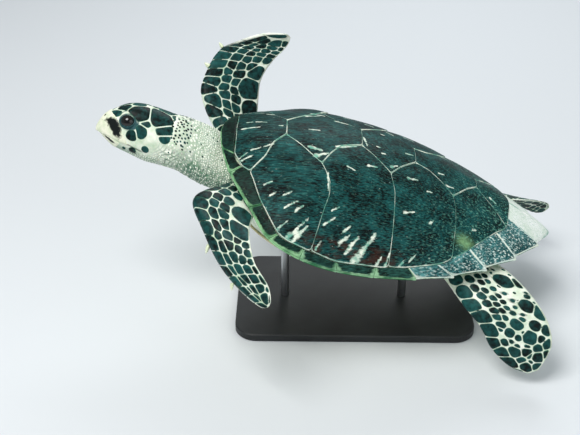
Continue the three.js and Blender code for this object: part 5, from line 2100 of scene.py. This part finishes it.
@dataclass
class NeckGranules:
    """The small round scales of the nape, neck and throat."""

    start: float = -60.0
    dotted_end: float = -14.0  # up to here the nape has larger dark dots
    end: float = 66.0
    bake_corner: tuple[float, float] = (0.3, 0.8)

    def places(self) -> list[tuple[float, float, float, float]]:
        """Chart x, side angle, radius and darkness of every granule.

        Returns:
            One tuple for each granule.
        """
        rng = np.random.default_rng(21)
        found = []
        x = -126.0
        row = 0
        while x < self.end:
            dotted = self.start <= x < self.dotted_end
            pitch = 7.0 if dotted else 4.4
            around = float(HEAD.values(np.array([x]))[2][0]) * 2 * math.pi
            count = int(around / pitch)
            for i in range(count):
                side = ((i + 0.5 * (row % 2)) / count * 2 - 1) * math.pi
                turn = abs(math.degrees(side))
                if x < self.start and turn < 138 - 0.45 * (x + 126):
                    continue
                nape = 1.3 * math.exp(-((x + 42) / 20) ** 4 - ((turn - 46) / 44) ** 4)
                dark = float(rng.random() < (0.98 * nape if dotted else 0.03))
                radius = pitch * rng.uniform(0.3, 0.44) * (1 - 0.22 * float(smoothstep(75, 130, turn)))
                at_x = x + rng.uniform(-0.26, 0.26) * pitch
                at_side = side + rng.uniform(-0.26, 0.26) * pitch / 50
                wrinkle = float(HEAD.crease_shade(np.array([at_x]), np.array([at_side]))[0])
                if wrinkle > 0.8:
                    continue
                # granules in a wrinkle are painted dark as shade, the nape's dots in their own dark colour
                found.append((at_x, at_side, radius, max(dark, 0.75 * wrinkle)))
            x += pitch * 0.9
            row += 1
        return found

    def build(self, horn: Material) -> Object:
        """Make the granules as low six-sided domes.

        Args:
            horn: their finish.

        Returns:
            The finished piece.
        """
        x, side, radius, dark = (np.array(v) for v in zip(*self.places()))
        angle = np.arange(6) / 6 * 2 * math.pi
        profile = ((1.0, -0.5), (0.8, 0.3), (0.0, 0.55))
        girth = HEAD.values(x)[2]
        charts, heights = [], []
        for reach, height in profile:
            ring = angle if reach else angle[:1]
            a = x[:, None] + np.cos(ring) * (radius * reach)[:, None]
            b = side[:, None] + np.sin(ring) * (radius * reach / girth)[:, None]
            charts.append(np.stack([a, b], -1))
            heights.append(np.full(a.shape, height))
        chart = np.concatenate(charts, 1)
        height = np.concatenate(heights, 1)
        points = HEAD.surface(chart[..., 0].ravel(), chart[..., 1].ravel(), height.ravel() - COAT_DEPTH)
        one = [(k, (k + 1) % 6, 6 + (k + 1) % 6, 6 + k) for k in range(6)]
        one += [(6 + k, 6 + (k + 1) % 6, 12, 12) for k in range(6)]
        quads = np.array(one)[None] + (np.arange(len(x)) * 13)[:, None, None]
        faces = [tuple(dict.fromkeys(f)) for f in quads.reshape(-1, 4).tolist()]
        faces += [tuple(range(13 * k + 5, 13 * k - 1, -1)) for k in range(len(x))]
        root = np.stack([x, side * CHART_RADIUS], -1) * MM + self.bake_corner
        local = (chart - np.stack([x, side], -1)[:, None]) * [1, CHART_RADIUS]
        uv = (root[:, None] + local * PATCH_REACH / 2).reshape(-1, 2)[np.array([i for f in faces for i in f])]
        every = np.repeat(dark, 13)
        values = {"dark": every, "edge_mm": np.full(len(every), 1.2), "fade": np.zeros(len(every)),
                  "tone": np.repeat(np.random.default_rng(2).random(len(x)), 13)}
        obj = recalculate(mesh_object("neck_granules", points, faces, values, {"OFBake": uv}))
        place(obj, horn, [])
        return obj


# ------------------------------------------------------------------ beak, eyes and claws


@dataclass(frozen=True)
class BeakHorn:
    """Keratin of the beak, worn smooth: cream with dark smudges, painted shade in the nostrils and the
    mouth's gap, and fine growth streaks.
    """

    name: str = "beak_keratin_worn_smooth"
    pale: str = "#f5f4df"
    warm: str = "#bdd0aa"
    dark: str = "#08110f"

    def build(self) -> Material:
        """Make the material.

        Returns:
            The material.
        """
        s = Shading(self.name)
        smudge_and_shade, = s.marks("smudge_and_shade")
        streak = s.noise(1.6, 3, (0.2, 1, 0.35))
        cloud = s.total((s.noise(13, 4), 0.7), (streak, 0.3))
        base = s.node("ValToRGB", {0: cloud}, stops=((0.35, self.pale), (0.8, self.warm)))
        # the smudges, with painted shade in the nostrils and the mouth's gap, torn by noise
        smudge_and_shade = s.total((smudge_and_shade, 1), (s.noise(6, 4), 1.1), offset=-0.55)
        smudge_and_shade = s.node("MapRange", {"Value": smudge_and_shade, "From Min": 0.3, "From Max": 0.6})
        colour = s.paint(base, (smudge_and_shade, self.dark))
        relief = s.total((streak, 1), (s.noise(6, 3), 0.7))
        return s.finish(colour, 0.42, specular=0.3, bump=relief, bump_mm=0.25)


def mouth_side(x: Array) -> Array:
    """Side angle from the crown at which the mouth line crosses a section.

    Args:
        x: stations of the head.

    Returns:
        Angles in radians.
    """
    x = np.asarray(x, float)
    line = np.array(MOUTH_LINE, float)
    z = np.interp(x, line[:, 0], line[:, 1])
    sections = np.array(HEAD_SECTIONS, float)
    fine = catmull(sections, 16, centripetal=True)
    centre, half, square = (np.interp(x, fine[:, 0], fine[:, k]) for k in (1, 2, 4))
    drop = np.clip((z - centre) / half, -1, 1)
    cosine = np.sign(drop) * np.abs(drop) ** (square / 2)
    return np.arccos(cosine)


@dataclass
class Beak:
    """The horny sheaths of the upper and the lower jaw."""

    # Rear border of each sheath: share of the way from the midline to the mouth's edge, x.
    upper_rear: tuple[tuple[float, float], ...] = (
        (0, -176), (0.3, -169.5), (0.62, -157), (0.78, -146), (0.9, -137), (1, -131))
    lower_rear: tuple[tuple[float, float], ...] = ((0, -153), (0.5, -151), (1, -146))
    rise: float = 0.9
    depth: float = 1.8
    rows: int = 60
    across: int = 90

    def sheath(self, name: str, upper: bool) -> Object:
        """One sheath as a closed shell over the head's surface.

        Args:
            name: the piece's name.
            upper: whether it is the upper one.

        Returns:
            The object, not yet dressed.
        """
        rear = np.array(self.upper_rear if upper else self.lower_rear)
        front = HEAD.start + 0.15 if upper else -187.6
        v = np.linspace(-1, 1, self.across)
        end = np.interp(np.abs(v), rear[:, 0], rear[:, 1])
        rings, smudges = [], []
        for share in np.linspace(0, 1, self.rows) ** 1.3:
            x = front + (end - front) * share
            mouth = mouth_side(x)
            if upper:
                droop = math.radians(7) * np.exp(-((x + 186) / 7) ** 2)
                side = v * np.minimum(mouth + droop + math.radians(1.0), math.pi)
            else:
                side = math.pi + v * np.maximum(math.pi - mouth - math.radians(3.0), 0.02)
            edge_gap = (1 - np.abs(v)) * 45 * (2 if upper else 1)
            border = np.minimum(edge_gap, (1 - share) * (end - front))
            round_over = np.sqrt(np.clip(border / 1.6, 0, 1))
            low = 0.0 if upper else -1.1
            turn = np.degrees(np.abs(np.arctan2(np.sin(side), np.cos(side))))
            nostril = np.exp(-((x + 183) / 1.6) ** 2 - ((turn - 24) / 7) ** 2) if upper else 0 * x
            outer = HEAD.surface(x, side, low - 0.3 + (self.rise + 0.3) * round_over - 1.3 * nostril)
            inner = HEAD.surface(x, side, np.full_like(x, low - self.depth))
            rings.append(np.vstack([outer, inner[::-1]]))
            if upper:
                lean = x + 163 - 0.45 * (turn - 80)
                stain_and_shade = np.exp(-((lean / 11) ** 2) ** 1.5 - (((turn - 80) / 27) ** 2) ** 1.5)
                # the nostril's pit is painted dark as shade
                stain_and_shade = np.maximum(stain_and_shade, 1.2 * nostril)
            else:
                # painted shade in the mouth's gap, along the lower sheath's upper edge
                stain_and_shade = np.exp(-((x + 166) / 12) ** 2 - ((turn - 131) / 7) ** 2)
            smudges.append(np.r_[stain_and_shade, stain_and_shade[::-1]])
        if upper:
            tip = rings[0].mean(0)
            rings[0] = tip + (rings[0] - tip) * 0.05
        count = 2 * self.across
        points = np.vstack(rings)
        faces = ring_faces(self.rows, count)
        for row in (0, self.rows - 1):
            start = row * count
            strip = [(start + i, start + i + 1, start + count - 2 - i, start + count - 1 - i)
                     for i in range(self.across - 1)]
            faces += strip if row == 0 else [f[::-1] for f in strip]
        return recalculate(mesh_object(name, points, faces, {"smudge_and_shade": np.concatenate(smudges)}))

    def build(self) -> None:
        """Make and dress both sheaths."""
        horn = BeakHorn().build()
        place(self.sheath("upper_beak_sheath", True), horn, ["beak_upper"])
        place(self.sheath("lower_beak_sheath", False), horn, ["beak_lower"])


def eye_frame(side: int) -> tuple[Array, Array, Array, Array]:
    """Centre and axes of an eye in the body frame.

    Args:
        side: -1 for the left eye, 1 for the right one.

    Returns:
        Centre, gaze, forward and up directions.
    """
    centre = head_to_body(EYE * [1, side, 1])
    aim = HEAD.surface(np.array([-141.0]), np.array([side * math.radians(66)]))[0]
    gaze = unit(aim - centre)
    up = unit(np.array([0, 0, 1.0]) - gaze * gaze[2])
    back = np.cross(up, gaze) * side
    return centre, gaze, back, up


@dataclass(frozen=True)
class EyeGlass:
    """Wet cornea over a dark brown iris with a round black pupil."""

    name: str = "eye_wet_cornea"
    iris: str = "#0b0a09"
    fibre: str = "#241a12"
    pupil: str = "#020203"
    white: str = "#0b1514"

    def build(self) -> Material:
        """Make the material.

        Returns:
            The material.
        """
        s = Shading(self.name)
        reach, = s.marks("from_pupil")
        iris = s.node("ValToRGB", {0: s.noise(0.5, 3)}, stops=((0.35, self.iris), (0.75, self.fibre)))
        outside = s.node("MapRange", {"Value": reach, "From Min": 7.6, "From Max": 8.6})
        inside = s.node("MapRange", {"Value": reach, "From Min": 5.2, "From Max": 4.7})
        colour = s.paint(iris, (outside, self.white), (inside, self.pupil))
        return s.finish(colour, 0.15, coat=0.6, coat_roughness=0.03, ior=1.38)


@dataclass
class Eyes:
    """Both eyeballs, each with a bulging cornea."""

    turns: int = 64
    rings: int = 40
    cornea: float = 0.5  # extra rise over the iris, millimetres

    def ball(self, name: str, side: int) -> Object:
        """One eyeball.

        Args:
            name: the piece's name.
            side: -1 for the left eye, 1 for the right one.

        Returns:
            The object, not yet dressed.
        """
        centre, gaze, back, up = eye_frame(side)
        polar_angle = np.linspace(0, math.pi, self.rings)
        rings, reach = [], []
        turn = np.arange(self.turns) / self.turns * 2 * math.pi
        for angle in polar_angle[1:-1]:
            radius = EYE_RADIUS - 0.5 + self.cornea * math.exp(-(angle / 0.45) ** 4)
            flat = (np.cos(turn)[:, None] * back + np.sin(turn)[:, None] * up) * math.sin(angle)
            rings.append(centre + (flat + gaze * math.cos(angle)) * radius)
            reach.append(np.full(self.turns, EYE_RADIUS * angle))
        points, faces = closed_loft(rings)
        points[-2] = centre + gaze * (EYE_RADIUS - 0.5 + self.cornea)
        points[-1] = centre - gaze * (EYE_RADIUS - 0.5)
        values = np.r_[np.concatenate(reach), 0, EYE_RADIUS * math.pi]
        return recalculate(mesh_object(name, points, faces, {"from_pupil": values}))

    def build(self) -> None:
        """Make and dress both eyes."""
        glass = EyeGlass().build()
        for side, label in ((-1, "left"), (1, "right")):
            place(self.ball(f"eyeball_{label}", side), glass, [f"eye_{label}"])


@dataclass(frozen=True)
class ClawHorn:
    """Keratin of the claws, polished by wear: cream with a darker root."""

    name: str = "claw_keratin_polished"
    pale: str = "#e6edcf"
    warm: str = "#aebf92"

    def build(self) -> Material:
        """Make the material.

        Returns:
            The material.
        """
        s = Shading(self.name)
        streak = s.noise(1.2, 3)
        tip, = s.marks("tip")
        base = s.node("ValToRGB", {0: streak}, stops=((0.3, self.warm), (0.8, self.pale)))
        colour = s.paint(base, (tip, self.pale))
        return s.finish(colour, 0.33, coat=0.3, bump=streak, bump_mm=0.1)


CLAWS = {"front_claw_left_1": ((44, -243, -3), (42, -255, -14), 4.0),
         "front_claw_left_2": ((95, -292, -34), (97, -300, -44), 3.5),
         "front_claw_right_1": ((-18, 196, 114), (-29, 199, 118), 4.0),
         "front_claw_right_2": ((-1, 234, 143), (-10, 240, 150), 3.5)}


@dataclass
class Claws:
    """The two claws on each front flipper's leading edge."""

    rows: int = 14
    turns: int = 16
    curl: float = 1.2  # sideways bend towards the flipper's tip, millimetres

    def claw(self, name: str, root: Array, tip: Array, radius: float) -> Object:
        """One curved, tapering claw with a bulging root.

        Args:
            name: the piece's name.
            root: where it leaves the flipper.
            tip: its point.
            radius: half its width at the root.

        Returns:
            The object, not yet dressed.
        """
        axis = unit(tip - root)
        side = unit(np.cross(axis, [0.0, 0.0, 1.0]))
        up = np.cross(side, axis)
        turn = np.arange(self.turns) / self.turns * 2 * math.pi
        rings, tips = [], []
        for share in np.linspace(0, 0.985, self.rows):
            width = 1.15 * radius * (1 - share ** 2.6)
            bend = side * self.curl * math.sin(math.pi * share) * 0.4
            centre = root + (tip - root) * share + bend
            rings.append(centre + (np.cos(turn)[:, None] * side * 0.8 + np.sin(turn)[:, None] * up) * width)
            tips.append(np.full(self.turns, share))
        points, faces = closed_loft(rings)
        return recalculate(mesh_object(name, points, faces, {"tip": np.r_[np.concatenate(tips), 0, 1]}))

    def build(self) -> None:
        """Make and dress every claw."""
        horn = ClawHorn().build()
        for node, (root, tip, radius) in CLAWS.items():
            name = node.replace("front_", "") + "_horn"
            place(self.claw(name, np.array(root, float), np.array(tip, float), radius), horn, [node])


# ------------------------------------------------------------------ stand


@dataclass(frozen=True)
class StandFinish:
    """Finishes of the display stand: powder-coated base, brushed steel rods."""

    base_dark: str = "#17191a"
    base_light: str = "#26292b"
    steel: str = "#b9bcbe"

    def build_base(self) -> Material:
        """Powder coat: matt near-black with a fine orange-peel texture."""
        s = Shading("stand_base_powder_coated_steel")
        peel = s.noise(1.8, 2)
        colour = s.node("ValToRGB", {0: s.noise(60, 3)},
                        stops=((0.3, self.base_dark), (0.8, self.base_light)))
        return s.finish(colour, 0.5, bump=peel, bump_mm=0.12)

    def build_rod(self) -> Material:
        """Brushed stainless steel: fine rings round the rod break up its reflections."""
        s = Shading("stand_rod_brushed_stainless_steel")
        brush = s.noise(0.9, 3, (0.05, 0.05, 1))
        rough = s.node("MapRange", {"Value": brush, "To Min": 0.22, "To Max": 0.42})
        return s.finish(self.steel, rough, metallic=1.0, bump=brush, bump_mm=0.03)

    def build(self) -> None:
        """Dress the stand's solids."""
        for node, material in (("stand_base", self.build_base()), ("stand_rod_front", self.build_rod()),
                               ("stand_rod_rear", self.build_rod())):
            obj = bpy.data.objects[node]
            for slot in obj.material_slots:
                slot.material = material
            LOG.info("%s: dressed", node)


# ------------------------------------------------------------------ floor, lights and camera


@dataclass
class Studio:
    """A plain pale floor, soft lights and the camera."""

    camera_place: tuple[float, float, float] = (-0.0965, -1.7844, 1.3091)
    camera_forward: tuple[float, float, float] = (-0.0140, 0.8482, -0.5296)
    lens: float = 68.22
    sensor: float = 36.0
    floor_size: float = 30.0

    def camera(self) -> None:
        """Put the camera at the viewing angle."""
        data = bpy.data.cameras.new("camera")
        data.lens, data.sensor_width, data.clip_start, data.clip_end = self.lens, self.sensor, 0.05, 60
        camera = bpy.data.objects.new("camera", data)
        bpy.context.scene.collection.objects.link(camera)
        camera.location = self.camera_place
        camera.rotation_euler = Vector(self.camera_forward).to_track_quat("-Z", "Y").to_euler()
        bpy.context.scene.camera = camera

    def floor(self) -> None:
        """Lay the floor."""
        bpy.ops.object.select_all(action="DESELECT")
        bpy.ops.mesh.primitive_plane_add(size=self.floor_size, location=(0, 0, 0))
        floor = bpy.context.object
        floor.name = "studio_floor"
        s = Shading("studio_floor_matt_paint")
        floor.data.materials.append(s.finish("#d9dde0", 0.9))

    def lights(self) -> None:
        """Hang the lights and set the surroundings."""
        for name, place_at, size, power, tint in (
            ("key", (-1.1, -1.3, 3.0), 1.5, 92, (1.0, 0.99, 0.97)),
            ("fill", (1.9, -1.9, 1.5), 2.2, 18, (0.93, 0.97, 1.0)),
            ("rim", (0.5, 2.2, 2.2), 1.6, 34, (0.95, 0.98, 1.0)),
        ):
            data = bpy.data.lights.new(name, "AREA")
            data.size, data.energy, data.color = size, power, tint
            lamp = bpy.data.objects.new(name, data)
            bpy.context.scene.collection.objects.link(lamp)
            lamp.location = place_at
            aim = Vector((0.0, 0.0, 0.3)) - Vector(place_at)
            lamp.rotation_euler = aim.to_track_quat("-Z", "Y").to_euler()
        world = bpy.data.worlds.new("studio")
        bpy.context.scene.world = world
        world.use_nodes = True
        world.node_tree.nodes["Background"].inputs["Color"].default_value = linear("#dfe6ec")
        world.node_tree.nodes["Background"].inputs["Strength"].default_value = 0.36
        bpy.context.scene.view_settings.view_transform = "Standard"

    def build(self) -> None:
        """Make the camera, floor and lights."""
        self.camera()
        self.floor()
        self.lights()


def keep_inside(obj: Object) -> None:
    """Press a flipper's edge that stands a fraction of a millimetre outside the frame's box back into it.

    Args:
        obj: a piece with its place in its mesh.
    """
    margin = 0.02 * MM
    places = np.clip(vertex_places(obj.data), np.array(CAD_BOX[0]) + margin, np.array(CAD_BOX[1]) - margin)
    obj.data.vertices.foreach_set("co", places.astype(np.float32).ravel())
    obj.data.update()


def main() -> None:
    """Build every assembly in order and report each."""
    logging.basicConfig(level=logging.INFO, format="%(message)s", stream=sys.stdout)
    Studio().build()
    Carapace().build()
    Rim().build()
    PlastronShield().build()
    body = Skin()
    skin = body.build()
    place(skin, TurtleSkin().build(), ["head", "neck", "trunk", "tail", *FLIPPERS])
    horn = FlipperScale().build()
    coats = [
        FlipperCoat("front_left_scales", FRONT_LEFT, FRONT_ROWS, FRONT_LEFT_SINGLE, (0.02, 0.12), 11),
        FlipperCoat("front_right_scales", FRONT_RIGHT, FRONT_ROWS, FRONT_RIGHT_SINGLE, (0.02, 0.36), 5),
        FlipperCoat("hind_left_scales", HIND_LEFT, HIND_ROWS, HIND_SINGLE, (0.45, 0.14), 3, edge_pale=0.0),
        # the right hind flipper's lower face is turned from the light: all its scales are painted dark as
        # shade
        FlipperCoat("hind_right_scales", HIND_RIGHT, HIND_ROWS, HIND_SINGLE, (0.45, 0.40), 4, edge_pale=0.0,
                    lower_dark_and_shade=1.0),
        HeadShields(), NeckGranules()]
    pieces = [coat.build(horn) for coat in coats]
    body.mark(skin, pieces)
    for piece in [skin, *pieces]:
        keep_inside(piece)
    Beak().build()
    Eyes().build()
    Claws().build()
    StandFinish().build()


if __name__ == "__main__":
    main()
